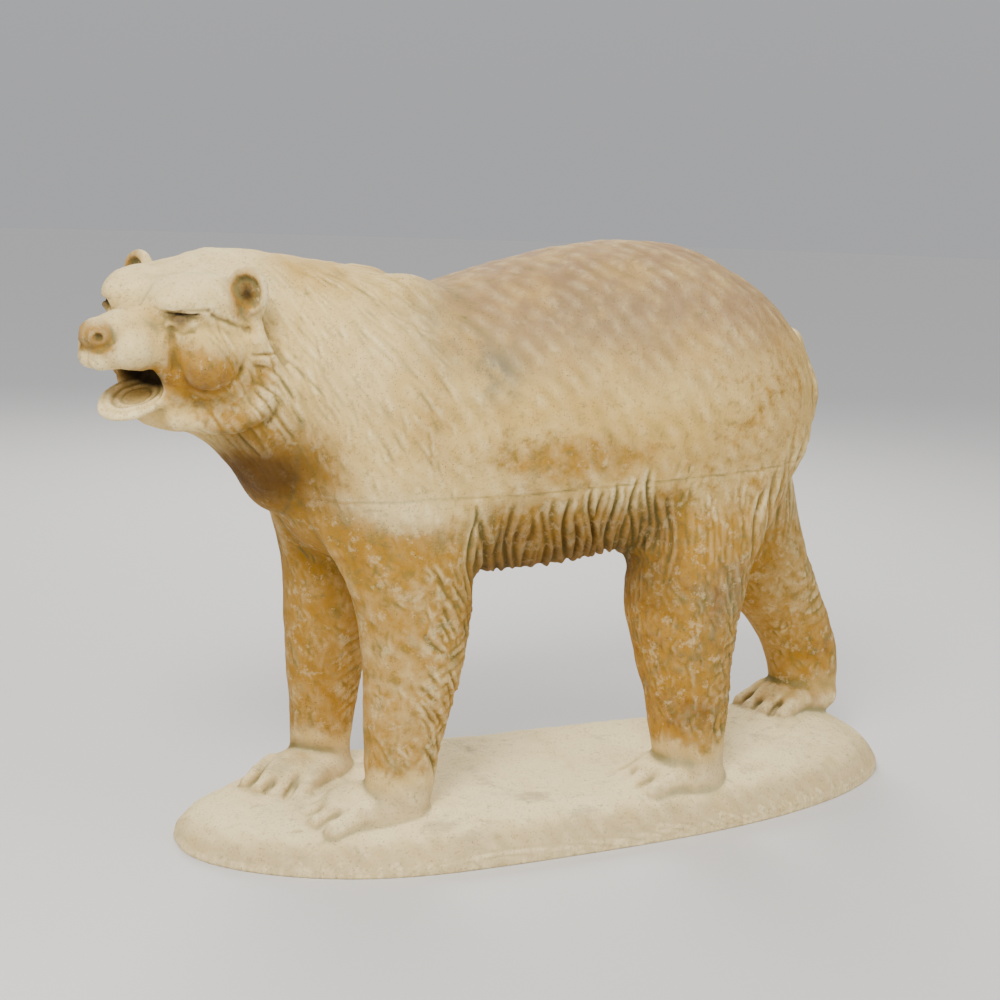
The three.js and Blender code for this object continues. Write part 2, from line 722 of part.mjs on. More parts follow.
function facet(xs, ys, zs) {
  const grid = readField(xs, ys, zs);
  fillPinches(grid);
  const { values, at, size } = grid;
  const lines = [xs, ys, zs];
  const pointOf = new Int32Array(values.length).fill(-1);
  const points = [];
  for (let i = 0; i + 1 < size[0]; i += 1) {
    for (let j = 0; j + 1 < size[1]; j += 1) {
      for (let k = 0; k + 1 < size[2]; k += 1) {
        const cell = [i, j, k];
        const sum = [0, 0, 0];
        let crossings = 0;
        EDGES.forEach(([a, b]) => {
          const va = values[at(i + a[0], j + a[1], k + a[2])];
          const vb = values[at(i + b[0], j + b[1], k + b[2])];
          if (va < 0 === vb < 0) {
            return;
          }
          const t = va / (va - vb);
          for (let axis = 0; axis < 3; axis += 1) {
            const from = lines[axis][cell[axis] + a[axis]];
            const to = lines[axis][cell[axis] + b[axis]];
            sum[axis] += from + t * (to - from);
          }
          crossings += 1;
        });
        if (crossings > 0) {
          pointOf[at(i, j, k)] = points.length;
          points.push(sum.map((value) => value / crossings));
        }
      }
    }
  }
  const triangles = [];
  for (let axis = 0; axis < 3; axis += 1) {
    const step = [0, 0, 0];
    step[axis] = 1;
    const side = [0, 0, 0];
    side[(axis + 1) % 3] = 1;
    const other = [0, 0, 0];
    other[(axis + 2) % 3] = 1;
    for (let i = 1; i + 1 < size[0]; i += 1) {
      for (let j = 1; j + 1 < size[1]; j += 1) {
        for (let k = 1; k + 1 < size[2]; k += 1) {
          const inside = values[at(i, j, k)] < 0;
          if (inside === values[at(i + step[0], j + step[1], k + step[2])] < 0) {
            continue;
          }
          const ring = RING.map(([a, b]) => {
            const cell = [i, j, k].map((n, c) => n - a * side[c] - b * other[c]);
            return pointOf[at(...cell)];
          });
          if (!inside) {
            ring.reverse();
          }
          triangles.push([ring[0], ring[1], ring[2]], [ring[0], ring[2], ring[3]]);
        }
      }
    }
  }
  return { points, triangles };
}

// Moves a point of the facets onto the surface itself.
function settle(point) {
  for (let turn = 0; turn < 2; turn += 1) {
    const d = casting(...point);
    const slope = [0, 1, 2].map((axis) => {
      const ahead = [...point];
      ahead[axis] += PROBE;
      return (casting(...ahead) - d) / PROBE;
    });
    const square = slope[0] ** 2 + slope[1] ** 2 + slope[2] ** 2;
    const move = Math.min(Math.max(d, -COARSE / 3), COARSE / 3) / Math.max(square, LEAST_SLOPE);
    for (let axis = 0; axis < 3; axis += 1) {
      point[axis] -= move * slope[axis];
    }
  }
}

// Thinning: the edge whose loss changes the surface least is drawn together to one point, again
// and again. The change is measured against the planes of the facets that met there.

function planeError(q, [x, y, z]) {
  const square = q[0] * x * x + q[4] * y * y + q[7] * z * z;
  const cross = q[1] * x * y + q[2] * x * z + q[5] * y * z;
  return square + 2 * (cross + q[3] * x + q[6] * y + q[8] * z) + q[9];
}

function bestPoint(q, a, b) {
  const matrix = new THREE.Matrix3().set(q[0], q[1], q[2], q[1], q[4], q[5], q[2], q[5], q[7]);
  const middle = a.map((value, axis) => (value + b[axis]) / 2);
  const size = q[0] + q[4] + q[7];
  let best = middle;
  if (Math.abs(matrix.determinant()) > FLAT * size ** 3) {
    const found = new THREE.Vector3(-q[3], -q[6], -q[8]).applyMatrix3(matrix.invert());
    const length = Math.hypot(a[0] - b[0], a[1] - b[1], a[2] - b[2]);
    if (found.distanceTo(new THREE.Vector3(...middle)) < length) {
      best = found.toArray();
    }
  }
  return [best, middle, a, b].reduce((x, y) => (planeError(q, y) < planeError(q, x) ? y : x));
}

class Heap {
  constructor() {
    this.items = [];
  }

  push(item) {
    const { items } = this;
    let i = items.length;
    items.push(item);
    while (i > 0) {
      const parent = (i - 1) >> 1;
      if (items[parent].cost <= item.cost) {
        break;
      }
      items[i] = items[parent];
      i = parent;
    }
    items[i] = item;
  }

  pop() {
    const { items } = this;
    const top = items[0];
    const item = items.pop();
    const count = items.length;
    if (count > 0) {
      let i = 0;
      while (2 * i + 1 < count) {
        let child = 2 * i + 1;
        if (child + 1 < count && items[child + 1].cost < items[child].cost) {
          child += 1;
        }
        if (items[child].cost >= item.cost) {
          break;
        }
        items[i] = items[child];
        i = child;
      }
      items[i] = item;
    }
    return top;
  }
}

function normalOf(a, b, c) {
  const u = [b[0] - a[0], b[1] - a[1], b[2] - a[2]];
  const v = [c[0] - a[0], c[1] - a[1], c[2] - a[2]];
  return [u[1] * v[2] - u[2] * v[1], u[2] * v[0] - u[0] * v[2], u[0] * v[1] - u[1] * v[0]];
}

function thin({ points, triangles }, most, care) {
  const around = points.map(() => new Set());
  const planes = points.map(() => new Float64Array(10));
  const alive = triangles.map(() => true);
  const version = new Int32Array(points.length);
  triangles.forEach((corners, index) => {
    const [a, b, c] = corners.map((corner) => points[corner]);
    const n = normalOf(a, b, c);
    const area = Math.hypot(...n);
    if (area > 0) {
      const [x, y, z] = n.map((value) => value / area);
      const d = -(x * a[0] + y * a[1] + z * a[2]);
      const terms = [x * x, x * y, x * z, x * d, y * y, y * z, y * d, z * z, z * d, d * d];
      corners.forEach((corner) => {
        const weight = area * care(points[corner]);
        terms.forEach((term, i) => {
          planes[corner][i] += weight * term;
        });
      });
    }
    corners.forEach((corner) => around[corner].add(index));
  });
  const neighbours = (v) => {
    const found = new Set();
    around[v].forEach((index) => triangles[index].forEach((corner) => found.add(corner)));
    found.delete(v);
    return found;
  };
  const heap = new Heap();
  const offer = (a, b) => {
    const q = planes[a].map((value, i) => value + planes[b][i]);
    const point = bestPoint(q, points[a], points[b]);
    const [p, r] = [points[a], points[b]];
    const length = Math.hypot(p[0] - r[0], p[1] - r[1], p[2] - r[2]);
    const cost = planeError(q, point) + LENGTH_COST * length ** 2;
    heap.push({ cost, a, b, point, stamp: version[a] + version[b] });
  };
  points.forEach((_, a) => neighbours(a).forEach((b) => a < b && offer(a, b)));
  const turnsOver = (v, other, point) => {
    for (const index of around[v]) {
      const corners = triangles[index];
      if (corners.includes(other)) {
        continue;
      }
      const before = normalOf(...corners.map((corner) => points[corner]));
      const after = normalOf(...corners.map((corner) => (corner === v ? point : points[corner])));
      const dot = before[0] * after[0] + before[1] * after[1] + before[2] * after[2];
      if (dot < LEAST_DOT * Math.hypot(...before) * Math.hypot(...after)) {
        return true;
      }
      const sides = corners.map((corner, i) => {
        const from = corner === v ? point : points[corner];
        const next = corners[(i + 1) % 3];
        const to = next === v ? point : points[next];
        return Math.hypot(from[0] - to[0], from[1] - to[1], from[2] - to[2]);
      });
      if (Math.hypot(...after) < LEAST_PLUMP * Math.max(...sides) ** 2) {
        return true;
      }
    }
    return false;
  };
  let count = triangles.length;
  while (count > most && heap.items.length > 0) {
    const { a, b, point, stamp } = heap.pop();
    if (around[a].size === 0 || around[b].size === 0 || stamp !== version[a] + version[b]) {
      continue;
    }
    const nearA = neighbours(a);
    const shared = [...neighbours(b)].filter((v) => nearA.has(v));
    if (!nearA.has(b) || shared.length !== 2) {
      continue;
    }
    if (turnsOver(a, b, point) || turnsOver(b, a, point)) {
      continue;
    }
    points[a] = point;
    planes[a] = planes[a].map((value, i) => value + planes[b][i]);
    around[b].forEach((index) => {
      const corners = triangles[index];
      if (corners.includes(a)) {
        corners.forEach((corner) => around[corner].delete(index));
        alive[index] = false;
        count -= 1;
      } else {
        corners[corners.indexOf(b)] = a;
        around[a].add(index);
      }
    });
    around[b].clear();
    version[a] += 1;
    version[b] += 1;
    neighbours(a).forEach((v) => offer(a, v));
  }
  return { points, triangles: triangles.filter((_, index) => alive[index]) };
}

// Solids

const wasm = await Module();
wasm.setup();

function solidOf(points, triangles) {
  return new wasm.Manifold(
    new wasm.Mesh({
      numProp: 3,
      vertProperties: Float32Array.from(points.flat()),
      triVerts: Uint32Array.from(triangles.flat()),
    })
  );
}

function slab(low, high) {
  const box = new THREE.BoxGeometry(
    REACH.x[1] - REACH.x[0] + MARGIN,
    REACH.y[1] - REACH.y[0] + MARGIN,
    high - low
  );
  box.translate((REACH.x[0] + REACH.x[1]) / 2, (REACH.y[0] + REACH.y[1]) / 2, (low + high) / 2);
  const corners = box.attributes.position;
  const points = [];
  const index = new Map();
  const which = [];
  for (let i = 0; i < corners.count; i += 1) {
    const point = [corners.getX(i), corners.getY(i), corners.getZ(i)];
    const key = point.join();
    if (!index.has(key)) {
      index.set(key, points.length);
      points.push(point);
    }
    which.push(index.get(key));
  }
  const triangles = [];
  for (let i = 0; i < box.index.count; i += 3) {
    triangles.push([0, 1, 2].map((k) => which[box.index.getX(i + k)]));
  }
  return solidOf(points, triangles);
}

function bearOnMound() {
  const never = Infinity;
  const xs = gridLines(REACH.x, -never, FINE_TO_X);
  const ys = gridLines(REACH.y, never, never);
  const zs = gridLines(REACH.z, FINE_FROM_Z, never);
  const surface = facet(xs, ys, zs);
  surface.points.forEach(settle);
  const isHead = (p) => p[0] < FINE_TO_X && p[2] > FINE_FROM_Z;
  const care = (p) => (isHead(p) ? FACE_CARE : 1);
  const { points, triangles } = thin(surface, MOST_TRIANGLES, care);
  const used = new Map();
  const kept = [];
  triangles.forEach((corners) => {
    corners.forEach((corner, i) => {
      if (!used.has(corner)) {
        used.set(corner, kept.length);
        kept.push(points[corner]);
      }
      corners[i] = used.get(corner);
    });
  });
  const cut = solidOf(kept, triangles).subtract(slab(-SPARE_DEPTH - MARGIN, 0)).getMesh();
  const geometry = new THREE.BufferGeometry();
  const positions = Float32Array.from(cut.vertProperties);
  geometry.setAttribute('position', new THREE.BufferAttribute(positions, 3));
  geometry.setIndex(new THREE.BufferAttribute(Uint32Array.from(cut.triVerts), 1));
  geometry.translate(-MIDDLE_X, -MIDDLE_Y, 0);
  geometry.computeVertexNormals();
  const mesh = new THREE.Mesh(geometry, STONE);
  mesh.name = 'bear_on_mound';
  return mesh;
}

const sculpture = new THREE.Group();
sculpture.add(bearOnMound());

export default sculpture;
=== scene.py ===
"""A walking bear on a low mound, cast in pale stone, weathered and stained with ochre.

The casting is one mesh. Its forms are the same named sections and rounded bodies as in the solid,
written as a field that is negative inside. The field's surface is meshed finely, the fur is carved
into it stroke by stroke, and the stone's patina is painted from how deep and where each point lies,
with painted shade in its deepest hollows and pits, in the mouth, ears and nostrils, under the brow,
throat and belly, and on the mound's steep side.
"""

import math

import bpy
import numpy as np
from mathutils import Matrix, Vector


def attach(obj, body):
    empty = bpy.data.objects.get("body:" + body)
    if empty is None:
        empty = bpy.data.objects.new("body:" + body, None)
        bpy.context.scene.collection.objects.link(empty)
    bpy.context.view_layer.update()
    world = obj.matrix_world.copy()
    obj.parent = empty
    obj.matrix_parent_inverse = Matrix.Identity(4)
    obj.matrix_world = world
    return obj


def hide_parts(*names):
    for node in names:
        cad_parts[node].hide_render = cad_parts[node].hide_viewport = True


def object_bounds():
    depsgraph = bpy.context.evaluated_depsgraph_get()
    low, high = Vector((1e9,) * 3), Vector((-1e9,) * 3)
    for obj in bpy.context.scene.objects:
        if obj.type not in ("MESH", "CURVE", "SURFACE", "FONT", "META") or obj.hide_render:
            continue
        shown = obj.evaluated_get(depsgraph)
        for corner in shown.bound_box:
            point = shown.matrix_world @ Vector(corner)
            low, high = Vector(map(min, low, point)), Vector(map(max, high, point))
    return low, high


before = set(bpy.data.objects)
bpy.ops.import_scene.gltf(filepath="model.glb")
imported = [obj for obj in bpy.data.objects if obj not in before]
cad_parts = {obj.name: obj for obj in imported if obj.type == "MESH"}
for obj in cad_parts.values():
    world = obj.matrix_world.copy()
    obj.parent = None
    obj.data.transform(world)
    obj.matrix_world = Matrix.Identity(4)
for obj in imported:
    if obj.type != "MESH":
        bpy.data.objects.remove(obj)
cad_low, cad_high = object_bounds()

# Driving dimensions, in metres, and tables of the forms in millimetres, as the solid has them


def metres(table):
    """A table that is written in millimetres. Its words stay as they are."""
    if isinstance(table, str):
        return table
    if isinstance(table, (list, tuple)):
        return type(table)(metres(each) for each in table)
    return table / 1000


# the forms are measured from a zero under the loins, and the frame's origin is here
MIDDLE = np.array([0.154, -0.022, 0.0])

# sections of the trunk and the neck: x, top, bottom, centre y, half width
TRUNK = metres([
    (-400, 1160, 700, -30, 130),
    (-340, 1160, 622, -25, 170),
    (-200, 1150, 570, -20, 225),
    (-80, 1145, 553, -20, 250),
    (0, 1168, 549, -20, 255),
    (100, 1195, 549, -20, 262),
    (220, 1222, 558, -20, 268),
    (360, 1236, 585, -20, 272),
    (480, 1226, 620, -20, 270),
    (580, 1186, 650, -15, 260),
    (670, 1134, 700, -10, 228),
    (738, 1066, 750, -10, 178),
    (782, 1004, 800, -10, 118),
])
TRUNK_CAPS = (0.080, 0.052)
TRUNK_ROUND = 2.2
NECK = metres([
    (-600, 1170, 872, -78, 85),
    (-500, 1200, 811, -60, 106),
    (-400, 1182, 745, -35, 132),
    (-300, 1160, 700, -30, 168),
])
NECK_CAPS = (0.080, 0.150)
NECK_BLEND = 0.110
NECK_ROUND = 2.1

# sections of the legs: z, front x, back x, centre y, half width
NEAR_FORELEG = metres([
    (100, -245, -115, -170, 62),
    (160, -247, -104, -170, 60),
    (250, -250, -85, -168, 66),
    (330, -252, -60, -165, 74),
    (430, -256, -40, -160, 84),
    (530, -275, -30, -155, 95),
    (630, -310, -30, -150, 100),
    (750, -360, -50, -140, 105),
])
FAR_FORELEG = metres([
    (100, -310, -185, 125, 60),
    (160, -312, -180, 125, 58),
    (250, -318, -170, 122, 64),
    (330, -325, -155, 120, 72),
    (430, -332, -130, 115, 84),
    (530, -338, -100, 110, 95),
    (630, -360, -80, 105, 100),
    (750, -400, -80, 100, 105),
])
NEAR_HIND_LEG = metres([
    (90, 420, 572, -175, 70),
    (150, 414, 573, -175, 68),
    (250, 396, 578, -172, 78),
    (370, 366, 584, -165, 95),
    (470, 348, 597, -155, 112),
    (580, 355, 630, -145, 125),
    (700, 360, 700, -130, 130),
    (820, 380, 760, -120, 125),
])
FAR_HIND_LEG = metres([
    (150, 905, 1072, 120, 62),
    (200, 893, 1073, 120, 58),
    (270, 872, 1062, 118, 62),
    (350, 810, 1028, 115, 75),
    (450, 715, 975, 110, 92),
    (560, 630, 922, 105, 110),
    (680, 560, 886, 100, 125),
    (800, 500, 846, 95, 120),
])
LEG_CAPS = (0.050, 0.120)
LEG_ROUND = 2.15
# each leg: its sections, how far it blends into the body, and where its fur starts and ends
LEGS = [
    (NEAR_FORELEG, 0.050, 0.19, 0.60),
    (FAR_FORELEG, 0.050, 0.19, 0.60),
    (NEAR_HIND_LEG, 0.060, 0.17, 0.52),
    (FAR_HIND_LEG, 0.060, 0.26, 0.52),
]
LEGS_END = 1.05

# paws: where the ankle stands, how far each is turned out, and its sole's height; its toes' tips
# and its heel are measured from the ankle along the paw
TOES = 4
TOE_LENGTH = 0.070
TOE_RADII = (0.022, 0.017)
TOE_BLEND = 0.013
TOE_SET_BACK = 0.018  # of the middle toes' tips
TOE_CURVE = 0.022  # how much farther back the outer toes end
TOE_ARC = 1.5
TIPS = {"spread": 0.84, "rise": 0.004}  # in shares of half the paw's width, and above the sole
ROOTS = {"spread": 0.70, "rise": 0.026}
BACK_RISE = 0.015
PAWS = [
    {
        "ankle": (-0.180, -0.150), "turn": 0, "tip": -0.192, "heel": 0.060,
        "sole": 0.078, "width": 0.165, "height": 0.050,
    },
    {
        "ankle": (-0.247, 0.115), "turn": 36, "tip": -0.208, "heel": 0.062,
        "sole": 0.084, "width": 0.165, "height": 0.044,
    },
    {
        "ankle": (0.496, -0.172), "turn": 0, "tip": -0.165, "heel": 0.080,
        "sole": 0.082, "width": 0.165, "height": 0.050,
    },
    {
        "ankle": (0.985, 0.120), "turn": 16, "tip": -0.180, "heel": 0.095,
        "sole": 0.125, "width": 0.160, "height": 0.050,
    },
]
PAW_BLEND = 0.014
PAWS_END = 0.285

# mound
MOUND_LENGTH = 1.720
MOUND_WIDTH = 0.580
MOUND_AT = (0.265, -0.020)
MOUND_SKEW = 0.03
MOUND_BOW = 0.06
MOUND_SWELL = 0.14
SWELL_AT = -0.330
SWELL_SPREAD = 0.320
MOUND_ROUND = 2.3
MOUND_HEIGHT = 0.095
MOUND_FLAT = 0.6
MOUND_STEEP = 2.6
MOUND_SLOPE = 0.8  # evens out how fast the field grows off its steep side
HUMP_HEIGHT = 0.045
HUMP_AT = (0.950, 0.080)
HUMP_SPREAD = (0.240, 0.200)

# head: its zero is between the ears, u points to the nose, v to the bear's left and w up
HEAD_AT = np.array([-0.575, -0.070, 1.105])
HEAD_TURN = math.radians(30)
HEAD_TILT = math.radians(4)
HEAD_REACH = 0.400
HEAD_BLEND = 0.020
JAW_AT = (0.140, 0.002, -0.163)
JAW_DROP = math.radians(23)
JAW_ROLL = math.radians(10)
EARS = [
    {"side": 1, "at": (0.020, 0.153, 0.050), "faces": (0.90, 0.42, -0.05), "lean": math.radians(16)},
    {"side": -1, "at": (0.014, 0.142, 0.044), "faces": (0.94, 0.10, 0.05), "lean": math.radians(-25)},
]
EAR_RADII = (0.021, 0.039, 0.044)
EAR_HOLLOWS = metres([
    ((22, 1, -3), (29, 31, 36)),
    ((30, -34, -38), (40, 36, 32)),
])
EAR_HOLLOW_BLEND = 0.007
EAR_STEM = (0.030, 0.020, 0.030)
EAR_STEM_SET_BACK = 0.012
EAR_STEM_RADII = (0.018, 0.030)
EAR_STEM_BLEND = 0.012
EAR_BLEND = 0.010
RUFF_BLEND = 0.022

# ruff behind the cheek: u, v, w, radius
RUFF = metres([
    (0, 150, 5, 10),
    (-15, 155, -38, 14),
    (-37, 158, -78, 17),
    (-48, 158, -113, 20),
    (-43, 156, -143, 22),
    (-25, 145, -178, 24),
    (0, 125, -196, 24),
    (35, 98, -203, 22),
    (85, 60, -200, 20),
])

# grid that the surface is read from
FINE = 0.003
COARSE = 0.0045
ACROSS = 0.004
FINE_TO_X = -0.330
FINE_FROM_Z = 0.830
REACH = [(-0.880, 1.150), (-0.360, 0.330), (-0.009, 1.260)]
MOST_TRIANGLES = 190000
BLOCK = 4  # lines of the grid along each side of a block that is read at once
BLOCK_CARE = 1.25  # how much farther than its own reach a block must lie to be left unread
BATCHES = 12
TINY = 1e-9
TINY_AREA = 1e-12


# Rounded forms and how they join


def join(a, b, blend):
    h = np.maximum(blend - np.abs(a - b), 0) / blend
    return np.minimum(a, b) - h * h * blend / 4


def carve(a, b, blend):
    return -join(-a, b, blend)


def ellipsoid(points, centre, radii):
    p = (points - np.asarray(centre)) / np.asarray(radii)
    level = np.sqrt((p * p).sum(1))
    slope = np.sqrt(((p / np.asarray(radii)) ** 2).sum(1))
    return level * (level - 1) / np.maximum(slope, TINY)


def rod(points, a, b, ra, rb):
    a, b = np.asarray(a), np.asarray(b)
    along = b - a
    t = np.clip((points - a) @ along / (along @ along), 0, 1)
    away = np.linalg.norm(points - a - t[:, None] * along, axis=1)
    return away - (ra + (rb - ra) * t)


def chain(points, places):
    """Rods from place to place, each place with its own radius."""
    d = np.full(len(points), np.inf)
    for a, b in zip(places, places[1:]):
        d = join(d, rod(points, a[:3], b[:3], a[3], b[3]), CHAIN_BLEND)
    return d


def smooth_curve(stations, values, s):
    """The values at s, on a smooth curve through them at the stations."""
    slopes = np.gradient(values, stations)
    slopes[1:-1] = (values[2:] - values[:-2]) / (stations[2:] - stations[:-2])
    i = np.clip(np.searchsorted(stations, s) - 1, 0, len(stations) - 2)
    gap = stations[i + 1] - stations[i]
    t = (s - stations[i]) / gap
    ends = (2 * t**3 - 3 * t**2 + 1) * values[i] + (3 * t**2 - 2 * t**3) * values[i + 1]
    bend = (t**3 - 2 * t**2 + t) * slopes[i] + (t**3 - t**2) * slopes[i + 1]
    return ends + gap * bend


def section_at(s, rows):
    """What the table says at s: how far s is beyond it, middle, half depth, centre, half width."""
    table = np.array(rows)
    stations = table[:, 0]
    within = np.clip(s, stations[0], stations[-1])
    columns = [
        (table[:, 1] + table[:, 2]) / 2,
        np.abs(table[:, 1] - table[:, 2]) / 2,
        table[:, 3],
        table[:, 4],
    ]
    return [s - within] + [smooth_curve(stations, column, within) for column in columns]


def loft(s, between, across, rows, caps, power):
    """A body with oval sections stacked along s."""
    over, middle, half_depth, centre, half_width = section_at(s, rows)
    cap = np.where(over < 0, caps[0], caps[1])
    a = np.abs(between - middle) / half_depth
    b = np.abs(across - centre) / half_width
    c = np.abs(over) / cap
    level = (a**power + b**power + c**power) ** (1 / power)
    slope = np.sqrt((a / half_depth) ** 2 + (b / half_width) ** 2 + (c / cap) ** 2)
    return (level - 1) * np.sqrt(a * a + b * b + c * c) / np.maximum(slope, TINY)


def smooth_step(start, end, x):
    t = np.clip((x - start) / (end - start), 0, 1)
    return t * t * (3 - 2 * t)


# Trunk and limbs


def trunk(p):
    return loft(p[:, 0], p[:, 2], p[:, 1], TRUNK, TRUNK_CAPS, TRUNK_ROUND)


def neck(p):
    return loft(p[:, 0], p[:, 2], p[:, 1], NECK, NECK_CAPS, NECK_ROUND)


def leg(p, rows):
    return loft(p[:, 2], p[:, 0], p[:, 1], rows, LEG_CAPS, LEG_ROUND)


def along_paw(p, ankle, turn):
    """Coordinates from the ankle: back along the paw, across it, and up."""
    angle = math.radians(turn)
    x = p[:, 0] - ankle[0]
    y = p[:, 1] - ankle[1]
    back = x * math.cos(angle) + y * math.sin(angle)
    across = y * math.cos(angle) - x * math.sin(angle)
    return np.stack([back, across, p[:, 2]], axis=1)


def toe_sides():
    return [2 * i / (TOES - 1) - 1 for i in range(TOES)]


def paw(p, ankle, turn, tip, heel, sole, width, height):
    p = along_paw(p, ankle, turn)
    half = width / 2
    knuckles = tip + TOE_LENGTH / 2
    middle = (knuckles + heel) / 2
    d = ellipsoid(p, (middle, 0, sole + BACK_RISE), ((heel - knuckles) / 2, half, height))
    for side in toe_sides():
        x = tip + TOE_SET_BACK + TOE_CURVE * abs(side) ** TOE_ARC
        end = (x, side * half * TIPS["spread"], sole + TIPS["rise"])
        root = (x + TOE_LENGTH, side * half * ROOTS["spread"], sole + ROOTS["rise"])
        d = join(d, rod(p, root, end, *TOE_RADII), TOE_BLEND)
    return d


# each muscle: centre, radii and how far it blends into the body
MUSCLES = metres([
    ((-160, -105, 1048), (100, 60, 115), 50),
    ((-200, 65, 1056), (100, 60, 115), 50),
    ((-170, -185, 860), (150, 75, 210), 60),
    ((-220, 145, 860), (150, 75, 210), 60),
])
TAIL = metres(((776, -34, 914), (55, 50, 136), 12))
# folds of the breast in front of each foreleg: points down the fold, and its radius there
FOLDS = metres([
    [
        (-366, -152, 752, 6),
        (-345, -152, 700, 12),
        (-312, -157, 636, 16),
        (-272, -167, 560, 14),
    ],
    [
        (-428, -14, 800, 18),
        (-402, 20, 738, 20),
        (-352, 52, 650, 18),
        (-310, 80, 560, 18),
    ],
])
FOLD_BLEND = 0.026
CHAIN_BLEND = 0.006


def body(p):
    d = join(trunk(p), neck(p), NECK_BLEND)
    for centre, radii, blend in MUSCLES:
        d = join(d, ellipsoid(p, centre, radii), blend)
    near = p[:, 2] < LEGS_END
    for rows, blend, *_ in LEGS:
        d[near] = join(d[near], leg(p[near], rows), blend)
    for points in FOLDS:
        d = join(d, chain(p, points), FOLD_BLEND)
    return join(d, ellipsoid(p, *TAIL[:2]), TAIL[2])


# Head

FORWARD = np.array([-math.cos(HEAD_TURN), -math.sin(HEAD_TURN), 0.0])
LEVEL_LEFT = np.array([math.sin(HEAD_TURN), -math.cos(HEAD_TURN), 0.0])
LEFT = LEVEL_LEFT * math.cos(HEAD_TILT) - np.array([0, 0, math.sin(HEAD_TILT)])
HEAD_AXES = np.array([FORWARD, LEFT, np.cross(FORWARD, LEFT)])
DROPPED = np.array([
    [math.cos(JAW_DROP), 0, -math.sin(JAW_DROP)],
    [0, 1, 0],
    [math.sin(JAW_DROP), 0, math.cos(JAW_DROP)],
])
ROLLED = np.array([
    [1, 0, 0],
    [0, math.cos(JAW_ROLL), -math.sin(JAW_ROLL)],
    [0, math.sin(JAW_ROLL), math.cos(JAW_ROLL)],
])
JAW_AXES = ROLLED @ DROPPED


def ear_axes(faces, lean):
    outward = np.array(faces) / np.linalg.norm(faces)
    side = np.cross((0, 0, 1), outward)
    side /= np.linalg.norm(side)
    rise = np.cross(outward, side)
    level = side * math.cos(lean) + rise * math.sin(lean)
    return np.array([outward, level, rise * math.cos(lean) - side * math.sin(lean)])


def in_head(p):
    """Head coordinates of points, and the same with both halves laid over each other."""
    q = (p - HEAD_AT) @ HEAD_AXES.T
    m = q * [1, 1, 1]
    m[:, 1] = np.abs(m[:, 1])
    return q, m


def ear(q, side, at, faces, lean):
    m = q * [1, side, 1]
    e = (m - at) @ ear_axes(faces, lean).T
    d = ellipsoid(e, (0, 0, 0), EAR_RADII)
    for centre, radii in EAR_HOLLOWS:
        d = carve(d, ellipsoid(e, centre, radii), EAR_HOLLOW_BLEND)
    stem = at - EAR_STEM_SET_BACK * np.array(faces)
    return join(d, rod(m, stem, np.array(at) - EAR_STEM, *EAR_STEM_RADII), EAR_STEM_BLEND)


# the masses of the head: on which coordinates they lie, centre and radii, or both ends of a rod
# with its radii there, and how far each blends into what stands already
HEAD_MASSES = metres([
    # skull, forehead, and the lobes over the eyes
    ("whole", (-55, 0, -6), (145, 130, 113), 30),
    ("whole", (40, 0, -14), (115, 105, 86), 30),
    ("halves", (94, 62, 14), (66, 62, 46), 25),
    # jowls, throat, and the bags under the eyes
    ("halves", (0, 80, -100), (78, 78, 108), 30),
    ("whole", (50, 0, -172), (90, 70, 62), 30),
    ("halves", (85, 60, -45), (55, 45, 40), 20),
    ("halves", (108, 56, -72), (52, 32, 50), 25),
    # muzzle: bridge, lips, and the nose
    ("whole", (90, 0, -28), (236, 0, -40), (50, 31), 25),
    ("halves", (182, 36, -66), (60, 38, 40), 14),
    ("halves", (226, 14, -80), (34, 26, 30), 10),
    ("whole", (246, 0, -40), (25, 36, 26), 6),
    # corners of the mouth, and the jaw like a broad spoon
    ("halves", (90, 58, -125), (38, 32, 55), 20),
    ("jaw", (0, 0, 0), (81, 58, 19), 15),
    # cheeks, temples, and the fat behind the lobes
    ("halves", (56, 100, -88), (66, 57, 66), 18),
    ("halves", (70, 80, -42), (58, 50, 46), 25),
    ("halves", (18, 98, 4), (72, 44, 48), 14),
    ("halves", (40, 76, 28), (84, 58, 44), 30),
])
# two curls of the mane behind the jaw
CURLS = metres([
    ("halves", (-66, 158, -128), (-94, 172, -182), (16, 24), 8),
    ("halves", (-40, 132, -206), (-80, 156, -214), (18, 24), 8),
])
# the open mouth, and the hollow of the lower lip
MOUTH_HOLLOWS = metres([
    ("whole", (200, 0, -128), (114, 62, 26), 8),
    ("jaw", (-4, 0, 23), (74, 52, 25), 6),
])
MOUTH_FLAPS = metres([("halves", (165, 42, -90), (100, 50, -76), (13, 18), 10)])
NOSTRILS_AND_SOCKETS = metres([
    ("halves", (263, 27, -42), (12, 8, 8), 4),
    ("halves", (162, 78, -5), (108, 128, -3), (11, 7), 6),
])
EYES_AND_LIDS = metres([
    ("halves", (130, 95, -7), (13, 14, 10), 2),
    ("halves", (144, 80, -17), (112, 110, -14), (6, 6), 8),
])
BROW_FURROW = metres([("whole", (160, 0, 30), (85, 0, 96), (12, 8), 22)])


def shape(d, spaces, forms, how):
    """What stands already, with forms joined to it or carved out of it."""
    for on, first, second, *rest in forms:
        if len(rest) == 1:
            piece = ellipsoid(spaces[on], first, second)
        else:
            piece = rod(spaces[on], first, second, *rest[0])
        d = how(d, piece, rest[-1])
    return d


